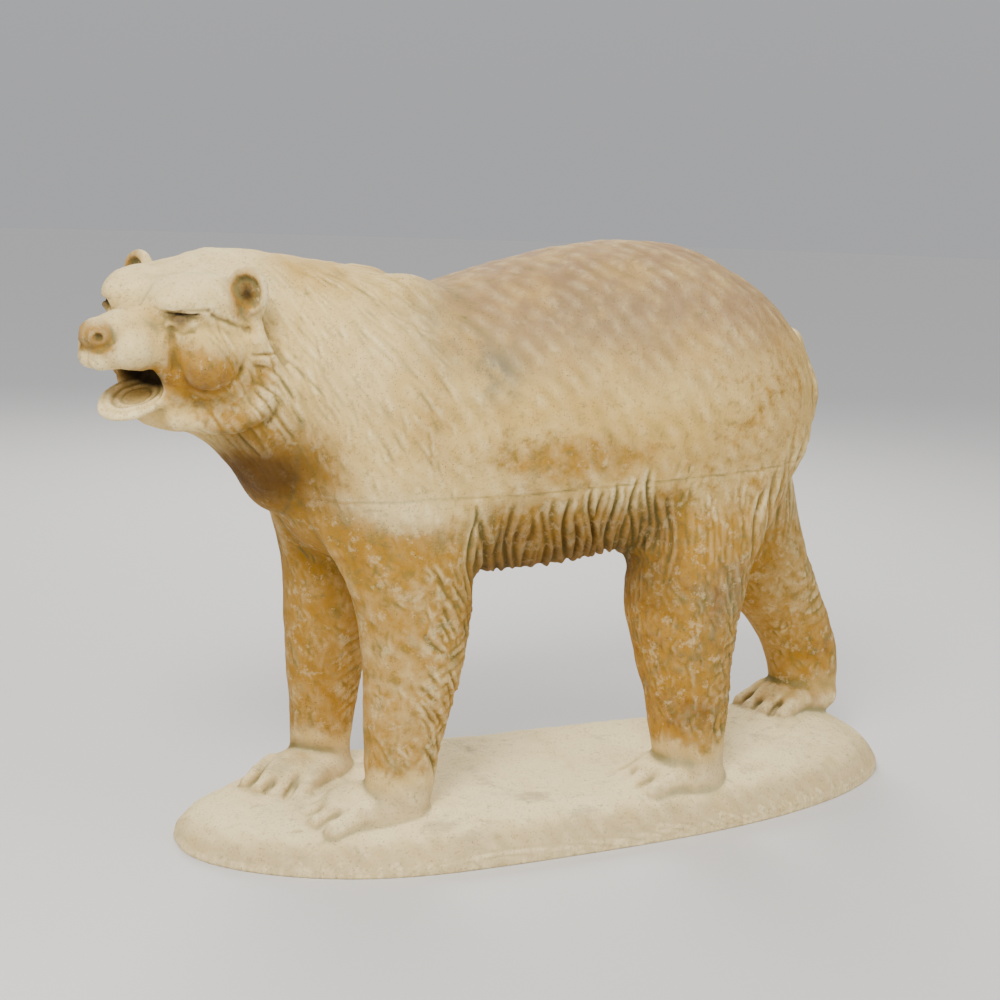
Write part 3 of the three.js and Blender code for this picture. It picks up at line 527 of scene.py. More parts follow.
def head(p):
    q, m = in_head(p)
    spaces = {"whole": q, "halves": m, "jaw": (q - JAW_AT) @ JAW_AXES.T}
    d = shape(np.full(len(p), np.inf), spaces, HEAD_MASSES, join)
    d = join(d, chain(m, RUFF), RUFF_BLEND)
    d = shape(d, spaces, CURLS, join)
    d = shape(d, spaces, MOUTH_HOLLOWS, carve)
    d = shape(d, spaces, MOUTH_FLAPS, join)
    d = shape(d, spaces, NOSTRILS_AND_SOCKETS, carve)
    d = shape(d, spaces, EYES_AND_LIDS, join)
    d = shape(d, spaces, BROW_FURROW, carve)
    for each in EARS:
        d = join(d, ear(q, **each), EAR_BLEND)
    return d


# Mound


def mound(p):
    x = p[:, 0] - MOUND_AT[0]
    y = p[:, 1] - (MOUND_AT[1] + MOUND_SKEW * x + MOUND_BOW * x * x)
    swell = np.exp(-(((p[:, 0] - SWELL_AT) / SWELL_SPREAD) ** 2))
    width = MOUND_WIDTH * (1 + MOUND_SWELL * swell)
    ends = np.abs(2 * x / MOUND_LENGTH) ** MOUND_ROUND
    sides = np.abs(2 * y / width) ** MOUND_ROUND
    plan = (ends + sides) ** (1 / MOUND_ROUND)
    away = ((p[:, :2] - HUMP_AT) / HUMP_SPREAD) ** 2
    crest = MOUND_HEIGHT + HUMP_HEIGHT * np.exp(-away.sum(1))
    fall = np.clip((plan - MOUND_FLAT) / (1 - MOUND_FLAT), 0, 1)
    top = crest * np.sqrt(1 - fall**MOUND_STEEP)
    return np.maximum((p[:, 2] - top) * MOUND_SLOPE, (plan - 1) * MOUND_WIDTH / 2 * MOUND_SLOPE)


# The whole casting


def casting(p):
    d = body(p)
    near = np.linalg.norm(p - HEAD_AT, axis=1) < HEAD_REACH
    d[near] = join(d[near], head(p[near]), HEAD_BLEND)
    low = p[:, 2] < PAWS_END
    part = join(d[low], mound(p[low]), PAW_BLEND)
    for each in PAWS:
        part = join(part, paw(p[low], **each), PAW_BLEND)
    d[low] = part
    return np.maximum(d, -p[:, 2])


# The fine surface


def grid_lines(start, end, coarse, fine_from=math.inf, fine_to=math.inf):
    lines = [start]
    while lines[-1] < end:
        lines.append(lines[-1] + (FINE if fine_from <= lines[-1] < fine_to else coarse))
    return np.array(lines)


def read_field(lines):
    """The field on the grid: exact near the surface, and one value a block elsewhere."""
    lines = [axis[: len(axis) // BLOCK * BLOCK] for axis in lines]
    size = [len(axis) for axis in lines]
    centres = [axis.reshape(-1, BLOCK)[:, [0, -1]].mean(1) for axis in lines]
    middle = np.stack(np.meshgrid(*centres, indexing="ij"), axis=-1).reshape(-1, 3)
    rough = casting(middle).reshape([len(axis) for axis in centres])
    reach = BLOCK * COARSE
    chosen = np.argwhere(np.abs(rough) < BLOCK_CARE * reach)
    values = rough.astype(np.float32)
    for axis in range(3):
        values = np.repeat(values, BLOCK, axis=axis)
    step = np.stack(np.meshgrid(*[range(BLOCK)] * 3, indexing="ij"), axis=-1).reshape(-1, 3)
    index = (chosen[:, None, :] * BLOCK + step[None]).reshape(-1, 3)
    points = np.stack([lines[axis][index[:, axis]] for axis in range(3)], axis=1)
    values[tuple(index.T)] = np.concatenate([casting(part) for part in np.array_split(points, BATCHES)])
    return lines, size, values


def surface(lines):
    """A mesh of the field's surface, with one vertex in each cell that it crosses."""
    lines, size, values = read_field(lines)
    inside = values < 0
    corners = [(i, j, k) for i in (0, 1) for j in (0, 1) for k in (0, 1)]
    cells = [n - 1 for n in size]
    count = np.zeros(cells, np.int8)
    for i, j, k in corners:
        count += inside[i : i + cells[0], j : j + cells[1], k : k + cells[2]]
    crossed = (count > 0) & (count < 8)
    where = np.argwhere(crossed)
    number = np.full(cells, -1, np.int32)
    number[crossed] = np.arange(len(where))
    at = {c: values[tuple((where + c).T)].astype(float) for c in corners}
    place = {c: np.stack([lines[a][where[:, a] + c[a]] for a in range(3)], axis=1) for c in corners}
    total = np.zeros((len(where), 3))
    crossings = np.zeros(len(where))
    for a in corners:
        for axis in range(3):
            if a[axis] == 1:
                continue
            b = tuple(1 if k == axis else a[k] for k in range(3))
            change = (at[a] < 0) != (at[b] < 0)
            t = np.where(change, at[a] / np.where(change, at[a] - at[b], 1), 0)
            total += change[:, None] * (place[a] + t[:, None] * (place[b] - place[a]))
            crossings += change
    vertices = total / crossings[:, None]
    quads = []
    for axis in range(3):
        first = [slice(None)] * 3
        second = [slice(None)] * 3
        first[axis] = slice(0, -1)
        second[axis] = slice(1, None)
        edges = np.argwhere(inside[tuple(first)] != inside[tuple(second)])
        u, v = (axis + 1) % 3, (axis + 2) % 3
        fits = (edges[:, u] > 0) & (edges[:, v] > 0)
        fits &= (edges[:, u] < cells[u]) & (edges[:, v] < cells[v])
        edges = edges[fits]
        ring = []
        for du, dv in ((0, 0), (1, 0), (1, 1), (0, 1)):
            cell = edges.copy()
            cell[:, u] -= du
            cell[:, v] -= dv
            ring.append(number[tuple(cell.T)])
        ring = np.stack(ring, axis=1)
        outward = inside[tuple(edges.T)]
        quads.append(np.where(outward[:, None], ring, ring[:, ::-1]))
    return vertices, np.concatenate(quads)


def normals_of(vertices, quads):
    a, b, c, d = (vertices[quads[:, k]] for k in range(4))
    face = np.cross(c - a, d - b)
    total = np.stack(
        [
            np.bincount(quads.ravel(), np.repeat(face[:, axis], 4), len(vertices))
            for axis in range(3)
        ],
        axis=1,
    )
    return total / np.maximum(np.linalg.norm(total, axis=1, keepdims=True), TINY_AREA)


def spread(values, quads, times):
    """Values of the vertices, averaged with their neighbours' again and again."""
    a = quads.ravel()
    b = np.roll(quads, -1, axis=1).ravel()
    ends = np.concatenate([a, b])
    others = np.concatenate([b, a])
    share = np.bincount(ends, minlength=len(values))
    for _ in range(times):
        columns = [np.bincount(ends, column[others], len(values)) for column in values.T]
        values = (values + np.stack(columns, axis=1) / share[:, None]) / 2
    return values


# Carving: locks of fur, single strokes of the chisel, and creases

PHASES = (0, 6.3)  # where in its turn a wave starts

LEG_LOCKS = 11
LEG_LOCK_LENGTH = 0.092
LEG_LOCK_DEPTH = 0.003
LEG_LOCK_LEAN = 4.0
LOCK_STAGGER = 0.618
LOCK_POINT = 0.5
LOCK_ROOT = 0.35  # how high a lock stands at its root, as a share of its tip
BETWEEN_LOCKS = 0.6  # how much of a lock's depth is cut away from the plain form
FUR_FADE = 0.08
FUR_BEHIND = (-0.2, 0.7)  # it starts behind the middle of the leg, in shares of its depth
FUR_OFF = (1.1, 1.5)  # and ends off the leg's surface


def locks(across, down):
    """1 on the back of a lock at its tip, 0 in the cleft between two lanes of locks."""
    lane = np.floor(across)
    aside = np.abs(across - lane - 0.5)
    share = down + LOCK_STAGGER * lane + LOCK_POINT * aside
    share -= np.floor(share)
    return np.sqrt(np.abs(np.sin(np.pi * across))) * (LOCK_ROOT + (1 - LOCK_ROOT) * share)


def leg_fur(p, rows, low, high):
    _, middle, half_depth, centre, half_width = section_at(p[:, 2], rows)
    x = (p[:, 0] - middle) / half_depth
    y = (p[:, 1] - centre) / half_width
    near = 1 - smooth_step(*FUR_OFF, np.hypot(x, y))
    behind = smooth_step(*FUR_BEHIND, x)
    where = smooth_step(low, low + FUR_FADE, p[:, 2])
    where *= 1 - smooth_step(high - FUR_FADE, high, p[:, 2])
    turn = np.arctan2(y, x) / (2 * np.pi)
    across = (turn + p[:, 2] * LEG_LOCK_LEAN * np.sign(y)) * LEG_LOCKS
    down = (high - p[:, 2]) / LEG_LOCK_LENGTH
    return LEG_LOCK_DEPTH * near * behind * where * (locks(across, down) - BETWEEN_LOCKS)


# long locks that hang side by side: x where the row starts and ends, the height where they start
# and end at both ends of the row, how many they are, how much they sway and lean, their depth, and
# how much of it is left at the foot
ROWS_OF_LOCKS = [
    {
        "x": (-0.085, 0.350), "top": (0.715, 0.775), "foot": (0.50, 0.54), "count": 18,
        "sway": 0.008, "lean": 0.02, "depth": 0.0085, "left": 0.3,
    },
    {
        "x": (-0.070, 0.345), "top": (0.660, 0.700), "foot": (0.50, 0.54), "count": 25,
        "sway": 0.004, "lean": -0.04, "depth": 0.0036, "left": 0.3,
    },
    {
        "x": (0.585, 0.830), "top": (0.800, 0.960), "foot": (0.50, 0.54), "count": 11,
        "sway": 0.007, "lean": -0.16, "depth": 0.0055, "left": 0.0,
    },
    {
        "x": (0.400, 0.640), "top": (0.720, 0.780), "foot": (0.54, 0.56), "count": 15,
        "sway": 0.005, "lean": 0.05, "depth": 0.0013, "left": 0.0,
    },
]
LIP = 0.45  # how high the stone stands beside a groove, as a share of the groove's depth
LIP_AT = 1.7  # in half widths of the groove
UNEVEN_GAP = 0.18  # how far a groove strays from its place, in gaps
UNEVEN_TOP = 0.022
LOCKS_REACH = 0.060  # how far a groove may run from where it starts, in x
SWAYS = 32  # how fast it sways
GROOVE_WIDTHS = (0.20, 0.30)  # in gaps
GROOVE_DEPTHS = (0.6, 1.15)
GROOVE_FADE = 0.25
FACING_ASIDE = (-0.15, 0.25)
FACING_AHEAD = (0.65, 0.92)
HALF_WAY = 0.5  # down a groove, where it starts to run out
# where the flank draws in toward the belly, the locks run back by this share of it
DRAWN_BACK = 0.42
WIDEST = 0.270


def carve_rows_of_locks(p, n, relief, random):
    """Grooves between locks, each with its own sway, that fade in from above."""
    drawn_in = DRAWN_BACK * (WIDEST - np.abs(p[:, 1] - MIDDLE[1]))
    for row in ROWS_OF_LOCKS:
        across = np.linspace(*row["x"], row["count"])
        gap = across[1] - across[0]
        for side in (-1, 1):
            facing = smooth_step(*FACING_ASIDE, n[:, 1] * side)
            facing *= 1 - smooth_step(*FACING_AHEAD, np.abs(n[:, 0]))
            for share, x in zip(np.linspace(0, 1, row["count"]), across):
                x += random.normal(0, UNEVEN_GAP) * gap
                top = np.interp(share, (0, 1), row["top"]) + random.normal(0, UNEVEN_TOP)
                foot = np.interp(share, (0, 1), row["foot"])
                away = p[:, 0] - x - drawn_in
                near = (np.abs(away) < LOCKS_REACH) & (p[:, 2] < top) & (p[:, 2] > foot)
                near = np.nonzero(near)[0]
                z = p[near, 2]
                down = (top - z) / (top - foot)
                phase = random.uniform(*PHASES)
                sway = row["sway"] * np.sin(z * SWAYS + phase) + row["lean"] * (top - z)
                b = (away[near] - sway) / (gap * random.uniform(*GROOVE_WIDTHS))
                groove = np.exp(-b * b) - LIP * np.exp(-((np.abs(b) - LIP_AT) ** 2))
                fade = 1 - (1 - row["left"]) * smooth_step(HALF_WAY, 1, down)
                depth = row["depth"] * random.uniform(*GROOVE_DEPTHS)
                relief[near] -= depth * groove * smooth_step(0, GROOVE_FADE, down) * fade * facing[near]


def box_mask(p, x, z):
    return (p[:, 0] > x[0]) & (p[:, 0] < x[1]) & (p[:, 2] > z[0]) & (p[:, 2] < z[1])


# where the chisel went: the region in x and z, how many strokes it holds a side, which way they
# run in x and z, how far they stray from it, and the length, width and depth of one
STROKES = [
    # neck and mane
    ((-0.58, -0.14), (0.80, 1.17), 300, (0.55, -0.85), 0.16, (0.090, 0.0036, 0.0008)),
    ((-0.50, -0.38), (0.84, 1.06), 16, (0.62, -0.78), 0.12, (0.080, 0.0050, 0.0026)),
    ((-0.46, -0.10), (0.62, 0.90), 80, (0.35, -0.92), 0.20, (0.046, 0.0036, 0.0008)),
    # forelegs
    ((-0.36, -0.02), (0.18, 0.62), 260, (0.42, -0.90), 0.55, (0.030, 0.0036, 0.0011)),
    ((-0.15, 0.00), (0.19, 0.60), 90, (0.60, -0.80), 0.12, (0.070, 0.0048, 0.0042)),
    # hind legs
    ((0.34, 0.62), (0.18, 0.60), 240, (0.35, -0.90), 0.60, (0.030, 0.0036, 0.0014)),
    ((0.52, 0.64), (0.20, 0.56), 60, (0.40, -0.90), 0.15, (0.066, 0.0048, 0.0030)),
    ((0.62, 1.08), (0.22, 0.60), 170, (0.60, -0.80), 0.55, (0.030, 0.0036, 0.0011)),
    # haunch and flank
    ((0.34, 0.84), (0.50, 0.80), 220, (-0.05, -1.0), 0.40, (0.036, 0.0038, 0.0013)),
    ((-0.20, 0.84), (0.74, 1.24), 180, (0.60, -0.60), 0.60, (0.022, 0.0034, 0.0005)),
]

# how unlike each other strokes are, as shares of the length, width and depth that the region says
STROKE_LENGTHS = (0.6, 1.2)
STROKE_WIDTHS = (0.8, 1.3)
STROKE_DEPTHS = (0.4, 1.2)
STROKE_BEND = 0.05
STROKE_REACH = 0.7  # of its length on either side of its middle
STROKE_SIDE = 4  # widths
STROKE_SKIN = 0.03  # how far off the surface a point may lie
ASIDE = 0.05  # how much the surface faces a side where strokes start


def carve_strokes(p, n, relief, random):
    order = np.argsort(p[:, 0])
    sorted_x = p[order, 0]
    for x, z, count, run, stray, size in STROKES:
        for side in (-1, 1):
            places = np.nonzero(box_mask(p, x, z) & (n[:, 1] * side > ASIDE))[0]
            for start in random.choice(places, count):
                length, width, depth = size
                length *= random.uniform(*STROKE_LENGTHS)
                width *= random.uniform(*STROKE_WIDTHS)
                depth *= random.uniform(*STROKE_DEPTHS)
                way = np.array([run[0] + random.normal(0, stray), 0, run[1]])
                way -= n[start] * (way @ n[start])
                way /= np.linalg.norm(way)
                aside = np.cross(n[start], way)
                reach = length * STROKE_REACH
                low, high = np.searchsorted(sorted_x, (p[start, 0] - reach, p[start, 0] + reach))
                near = order[low:high]
                near = near[np.abs(p[near, 2] - p[start, 2]) < reach]
                away = p[near] - p[start]
                a = away @ way / (length / 2)
                b = away @ aside + random.normal(0, STROKE_BEND) * length * a * a
                h = away @ n[start]
                fits = (np.abs(a) < 1) & (np.abs(b) < STROKE_SIDE * width) & (np.abs(h) < STROKE_SKIN)
                near, a, b = near[fits], a[fits], b[fits]
                lip = np.exp(-(((b - LIP_AT * width) / width) ** 2))
                groove = np.exp(-((b / width) ** 2)) - LIP * lip
                relief[near] -= depth * groove * (1 - a * a)


# creases of the face in head coordinates, each over both halves: width, depth, and its points
FACE_CREASES = metres([
    # under the brow
    (3.5, 2.4, [(159, 60, 10), (152, 85, 6), (138, 106, 8)]),
    (4, 3, [(138, 106, 8), (122, 120, 11), (93, 130, 13)]),
    (4, 2.6, [(93, 130, 13), (81, 132, 4)]),
    # bag under the eye
    (4.5, 2.2, [(142, 88, -26), (128, 102, -32), (112, 115, -27)]),
    # from the brow's end over the cheek to the ruff
    (5.5, 5, [(82, 131, 2), (44, 138, -12), (9, 147, -25)]),
    (5.5, 4, [(9, 147, -25), (-20, 152, -35), (-55, 150, -45)]),
    # between muzzle and cheek
    (10, 3.5, [(152, 72, -6), (148, 83, -18), (141, 85, -40)]),
    (10, 5, [(141, 85, -40), (134, 87, -66), (127, 85, -96)]),
    # under the cheek
    (9, 3.5, [(127, 92, -96), (112, 104, -124), (86, 124, -142)]),
    (9, 4.5, [(86, 124, -142), (45, 148, -132), (22, 157, -96)]),
    (8, 4.5, [(22, 157, -96), (12, 160, -55), (15, 156, -20)]),
    # behind the ruff
    (8, 8, [(-30, 168, -20), (-62, 172, -70), (-75, 174, -115)]),
    (9, 8, [(-75, 174, -115), (-68, 170, -155), (-48, 160, -198)]),
    # upper lip
    (2.4, 2.2, [(272, 0, -62), (266, 6, -78), (256, 24, -90)]),
    (2.4, 1.8, [(255, 30, -79), (246, 40, -73), (239, 48, -60)]),
    # round the nose's leather
    (2.8, 2.6, [(227, 10, -12), (230, 34, -30), (236, 43, -50)]),
    (2.8, 2.2, [(236, 43, -50), (254, 29, -69), (262, 6, -72)]),
    # between the brows, and across the forehead
    (5, 3, [(158, 20, 14), (146, 12, 30), (120, 6, 52)]),
    (3.5, 1.4, [(110, 30, 52), (96, 70, 58), (70, 100, 52)]),
    # dark mark of the chisel in the mane
    (4, 6, [(-100, 180, -64), (-112, 196, -90)]),
])

# creases of the body: width, depth, and points of x, y and z
BODY_CREASES = metres([
    # the tail's near edge, its ridge, and its far edge
    (5.5, 7, [(742, -90, 1030), (786, -96, 960), (800, -94, 880)]),
    (5.5, 5, [(800, -94, 880), (792, -82, 800), (775, -80, 740)]),
    (6, 6, [(790, 30, 1020), (815, 22, 940), (815, 10, 840)]),
    # chip and scratch in the mound
    (3.5, 4.5, [(-408, -176, 74), (-390, -182, 74)]),
    (3, 2.5, [(-300, -260, 60), (-292, -276, 30)]),
])

# the seam that the halves of the mould left along both flanks: x and z
SEAM = metres([
    (-380, 741), (-140, 748), (20, 747), (200, 759), (410, 768), (630, 782),
    (780, 795),
])
SEAM_WIDTH = 0.0026
SEAM_DEPTH = 0.0015
SEAM_STARTS = (-0.02, 0.03)
SEAM_FACING = (0.3, 0.5)
SEAM_WAVES = (41, 17)
SEAM_BREAKS = 0.25  # how much shallower it gets here and there

# tufts of the ruff: how long each is, how it leans and sways, and where along the ruff they run
TUFT = 0.034
TUFT_DEPTH = 0.0035
TUFTS_RUN = (0.030, 0.210)
TUFTS_FADE = (0.030, 0.040)
TUFT_LEAN = 0.6
TUFT_ZERO = 0.04
TUFT_SWAY = 0.006
TUFT_WAVES = 75
TUFT_CUT = 0.13  # width of a cut, in tufts
RUFF_SKIN = (0.020, 0.038)

# rings inside the lower lip
JAW_RINGS = 4
JAW_RING_DEPTH = 0.0018
JAW_SIZE = (0.078, 0.056)
RINGS_START = (0.30, 0.45)
RINGS_END = (0.90, 1.0)
RINGS_ABOVE = (-0.020, -0.008)
RINGS_BELOW = (0.010, 0.020)

# clefts between toes, on either side: back from the toes' tips, aside in shares of half the paw's
# width, and up from the sole
CLEFT_TIP = (0.012, 0.92, 0.004)
CLEFT_ROOT = (0.105, 0.55, 0.044)
CLEFT_DEPTH = 0.0075
CLEFT_WIDTH = 0.0065
PAW_REACH = 0.30
PAW_TOP = 0.09  # above the sole

# soft uneven swellings of the whole surface: depth and size
SWELLINGS = [(0.0040, 0.110), (0.0030, 0.045)]
WAVES = 12
WAVE_SIZES = (0.6, 1.4)
FOOT_FADE = 0.02
CARVING_SEED = 11


def carve_lines(points, creases, relief, near):
    for width, depth, line in creases:
        d = np.full(len(points), np.inf)
        for a, b in zip(line, line[1:]):
            d = np.minimum(d, rod(points, a, b, 0, 0))
        relief[near] -= depth * np.exp(-((d / width) ** 2))


def carve_ruff(m, relief, near):
    """Cuts across the ruff that part it into tufts."""
    best = np.full(len(m), np.inf)
    run = np.zeros(len(m))
    done = 0.0
    for a, b in zip(RUFF, RUFF[1:]):
        a, b = np.array(a), np.array(b)
        along = b[:3] - a[:3]
        length = np.linalg.norm(along)
        t = np.clip((m - a[:3]) @ along / length**2, 0, 1)
        d = np.linalg.norm(m - a[:3] - t[:, None] * along, axis=1)
        run = np.where(d < best, done + t * length, run)
        best = np.minimum(best, d)
        done += length
    lean = run + TUFT_LEAN * (m[:, 0] + TUFT_ZERO) + TUFT_SWAY * np.sin(run * TUFT_WAVES)
    cut_at = np.abs(np.mod(lean / TUFT, 1) - 0.5) / TUFT_CUT
    first, last = TUFTS_RUN
    where = smooth_step(first, first + TUFTS_FADE[0], run)
    where *= 1 - smooth_step(last - TUFTS_FADE[1], last, run)
    where *= 1 - smooth_step(*RUFF_SKIN, best)
    relief[near] -= TUFT_DEPTH * where * np.exp(-cut_at * cut_at)


def carve_jaw(q, relief, near):
    """Rings inside the lower lip, as on the shell of an oyster."""
    jaw = (q - JAW_AT) @ JAW_AXES.T
    r = np.hypot(jaw[:, 0] / JAW_SIZE[0], jaw[:, 1] / JAW_SIZE[1])
    ring = np.cos(2 * np.pi * JAW_RINGS * r)
    inside = smooth_step(*RINGS_START, r) * (1 - smooth_step(*RINGS_END, r))
    inside *= smooth_step(*RINGS_ABOVE, jaw[:, 2]) * (1 - smooth_step(*RINGS_BELOW, jaw[:, 2]))
    relief[near] += JAW_RING_DEPTH * ring * inside


def carve_seam(p, n, relief):
    x, z = np.array(SEAM).T
    away = (p[:, 2] - np.interp(p[:, 0], x, z)) / SEAM_WIDTH
    along = smooth_step(x[0] + SEAM_STARTS[0], x[0] + SEAM_STARTS[1], p[:, 0])
    facing = smooth_step(*SEAM_FACING, np.abs(n[:, 1]))
    waves = np.sin(p[:, 0] * SEAM_WAVES[0]) * np.sin(p[:, 0] * SEAM_WAVES[1] + 1)
    broken = 1 - SEAM_BREAKS + SEAM_BREAKS * waves
    relief -= SEAM_DEPTH * along * facing * broken * np.exp(-away * away)


def carve_toes(p, relief):
    """Clefts between the toes."""
    for each in PAWS:
        near = np.nonzero(np.hypot(*(p[:, :2] - each["ankle"]).T) < PAW_REACH)[0]
        near = near[p[near, 2] < each["sole"] + PAW_TOP]
        local = along_paw(p[near], each["ankle"], each["turn"])
        half = each["width"] / 2
        sides = toe_sides()
        for a, b in zip(sides, sides[1:]):
            side = (a + b) / 2
            ends = [
                (each["tip"] + back, side * half * aside, each["sole"] + rise)
                for back, aside, rise in (CLEFT_ROOT, CLEFT_TIP)
            ]
            d = rod(local, *ends, 0, 0)
            relief[near] -= CLEFT_DEPTH * np.exp(-((d / CLEFT_WIDTH) ** 2))


def carve_face(p, relief):
    near = np.nonzero(np.linalg.norm(p - HEAD_AT, axis=1) < HEAD_REACH)[0]
    q, m = in_head(p[near])
    carve_lines(m, FACE_CREASES, relief, near)
    carve_ruff(m, relief, near)
    carve_jaw(q, relief, near)


def lumps(p, size, random):
    """Soft uneven swellings of about that size, between -1 and 1."""
    total = np.zeros(len(p))
    for _ in range(WAVES):
        way = random.normal(size=3)
        way *= 2 * np.pi / size / np.linalg.norm(way) * random.uniform(*WAVE_SIZES)
        total += np.sin(p @ way + random.uniform(*PHASES))
    return total / WAVES


def carving(p, n):
    """How far each point stands out of the plain form, or lies below it."""
    random = np.random.default_rng(CARVING_SEED)
    relief = sum(leg_fur(p, rows, low, high) for rows, _, low, high in LEGS)
    carve_rows_of_locks(p, n, relief, random)
    carve_strokes(p, n, relief, random)
    carve_face(p, relief)
    carve_lines(p, BODY_CREASES, relief, np.arange(len(p)))
    carve_seam(p, n, relief)
    carve_toes(p, relief)
    for depth, size in SWELLINGS:
        relief += depth * lumps(p, size, random)
    return relief * smooth_step(0, FOOT_FADE, p[:, 2])


def carved_casting():
    """Vertices and quads of the whole casting, kept in the solid's box."""
    xs = grid_lines(*REACH[0], COARSE, -math.inf, FINE_TO_X)
    ys = grid_lines(*REACH[1], ACROSS)
    zs = grid_lines(*REACH[2], COARSE, FINE_FROM_Z, math.inf)
    vertices, quads = surface([xs, ys, zs])
    n = normals_of(vertices, quads)
    vertices -= n * np.clip(casting(vertices), -COARSE, COARSE)[:, None]
    vertices = vertices + n * carving(vertices, n)[:, None] - MIDDLE
    vertices = np.clip(vertices, cad_low, cad_high) + MIDDLE
    return vertices, quads


# Patina and painted shade: how strongly each stain, and each painted shade, lies on each point


def blob(p, centre, radii):
    return np.exp(-(((p - np.array(centre)) / np.array(radii)) ** 2).sum(1))


# stains, and painted shade in the shade and dark masks: which mask each belongs to, how strong it is,
# its centre, and its radii
BODY_STAINS_AND_SHADE = [
    # thigh, chest, flank, rump and belly
    ("ochre", 0.90, (0.36, -0.24, 0.52), (0.06, 0.10, 0.14)),
    ("ochre", 0.40, (0.40, -0.25, 0.35), (0.06, 0.10, 0.14)),
    ("ochre", 0.55, (1.00, 0.05, 0.29), (0.08, 0.10, 0.06)),
    ("grey", 0.35, (0.54, -0.26, 0.50), (0.09, 0.12, 0.14)),
    ("ochre", 0.30, (-0.40, -0.14, 0.72), (0.14, 0.20, 0.12)),
    ("ochre", 0.60, (-0.44, -0.12, 0.77), (0.12, 0.20, 0.09)),
    ("ochre", 0.50, (-0.25, -0.24, 0.66), (0.10, 0.10, 0.05)),
    ("ochre", 0.60, (0.13, -0.27, 0.82), (0.20, 0.12, 0.055)),
    ("ochre", 0.35, (0.60, -0.25, 0.95), (0.16, 0.20, 0.16)),
    ("ochre", 0.35, (-0.16, -0.22, 0.90), (0.05, 0.10, 0.14)),
    ("ochre", 0.50, (0.80, -0.05, 0.90), (0.04, 0.10, 0.14)),
    # back
    ("grey", 1.10, (-0.03, -0.26, 0.99), (0.055, 0.12, 0.050)),
    ("grey", 0.45, (-0.14, -0.20, 1.06), (0.07, 0.12, 0.08)),
    ("grey", 0.35, (0.20, -0.20, 1.10), (0.22, 0.16, 0.08)),
    # far paws, less bleached than the rest
    ("ochre", 0.35, (-0.33, 0.14, 0.11), (0.14, 0.12, 0.06)),
    ("ochre", 0.35, (0.93, 0.10, 0.17), (0.14, 0.12, 0.07)),
    ("pale", -0.50, (-0.33, 0.14, 0.11), (0.14, 0.12, 0.06)),
    ("pale", -0.50, (0.93, 0.10, 0.17), (0.14, 0.12, 0.07)),
    # shoulder
    ("pale", 0.55, (-0.22, -0.25, 0.72), (0.09, 0.10, 0.05)),
    ("pale", 0.35, (-0.28, -0.20, 1.00), (0.10, 0.12, 0.12)),
    # painted shade under the throat, on the far foreleg, at the breast and under the belly, and ochre
    # under the throat
    ("shade", 1.20, (-0.46, -0.12, 0.785), (0.12, 0.22, 0.078)),
    ("ochre", 0.35, (-0.44, -0.16, 0.860), (0.09, 0.12, 0.060)),
    ("shade", 0.40, (0.15, 0.00, 0.56), (0.26, 0.30, 0.06)),
    ("shade", 0.22, (-0.25, 0.12, 0.40), (0.12, 0.10, 0.25)),
    ("shade", 0.35, (-0.33, -0.02, 0.62), (0.05, 0.06, 0.10)),
]
FACE_STAINS_AND_SHADE = [
    # under the cheek and the jowl, the nose's leather, the mouth's corner, and the brow, with painted
    # shade under the cheek and on the nose
    ("ochre", 1.30, (0.085, 0.125, -0.112), (0.080, 0.07, 0.050)),
    ("shade", 0.30, (0.105, 0.110, -0.115), (0.050, 0.05, 0.030)),
    ("shade", 0.35, (0.258, 0.024, -0.048), (0.022, 0.030, 0.022)),
    ("ochre", 0.60, (0.010, 0.130, -0.205), (0.07, 0.05, 0.030)),
    ("ochre", 0.40, (-0.035, 0.155, -0.110), (0.03, 0.04, 0.070)),
    ("ochre", 0.30, (0.132, 0.086, -0.055), (0.022, 0.03, 0.050)),
    ("ochre", 0.70, (0.180, 0.050, -0.104), (0.060, 0.03, 0.010)),
    ("ochre", 1.50, (0.255, 0.024, -0.046), (0.030, 0.036, 0.030)),
    ("ochre", 0.90, (0.105, 0.070, -0.122), (0.030, 0.024, 0.024)),
    ("ochre", 0.40, (0.150, 0.090, 0.014), (0.05, 0.04, 0.010)),
    # inside the ear: ochre, and painted shade deep in its hollow
    ("ochre", 1.60, (0.028, 0.156, 0.050), (0.026, 0.036, 0.042)),
    ("dark", 0.70, (0.022, 0.154, 0.046), (0.016, 0.020, 0.028)),
    # painted shade round the eye, beside the muzzle, and behind the ruff
    ("shade", 0.55, (0.128, 0.100, -0.002), (0.024, 0.03, 0.012)),
    ("shade", 0.60, (0.138, 0.102, -0.006), (0.014, 0.02, 0.010)),
    ("shade", 0.15, (0.136, 0.084, -0.040), (0.014, 0.03, 0.045)),
    ("shade", 0.55, (-0.080, 0.130, -0.165), (0.030, 0.05, 0.045)),
    # painted shade in the nostril
    ("dark", 1.00, (0.260, 0.027, -0.042), (0.009, 0.008, 0.007)),
]
MOUTH = ((0.112, 0.0, -0.122), (0.076, 0.060, 0.024))
EYE_SLIT = ((0.152, 0.078, 0.003), (0.110, 0.122, 0.006))
EYE_SLIT_WIDTH = 0.0045
MASKS = ("ochre", "pink", "grey", "pale", "dark", "shade")
PATINA_SEED = 5
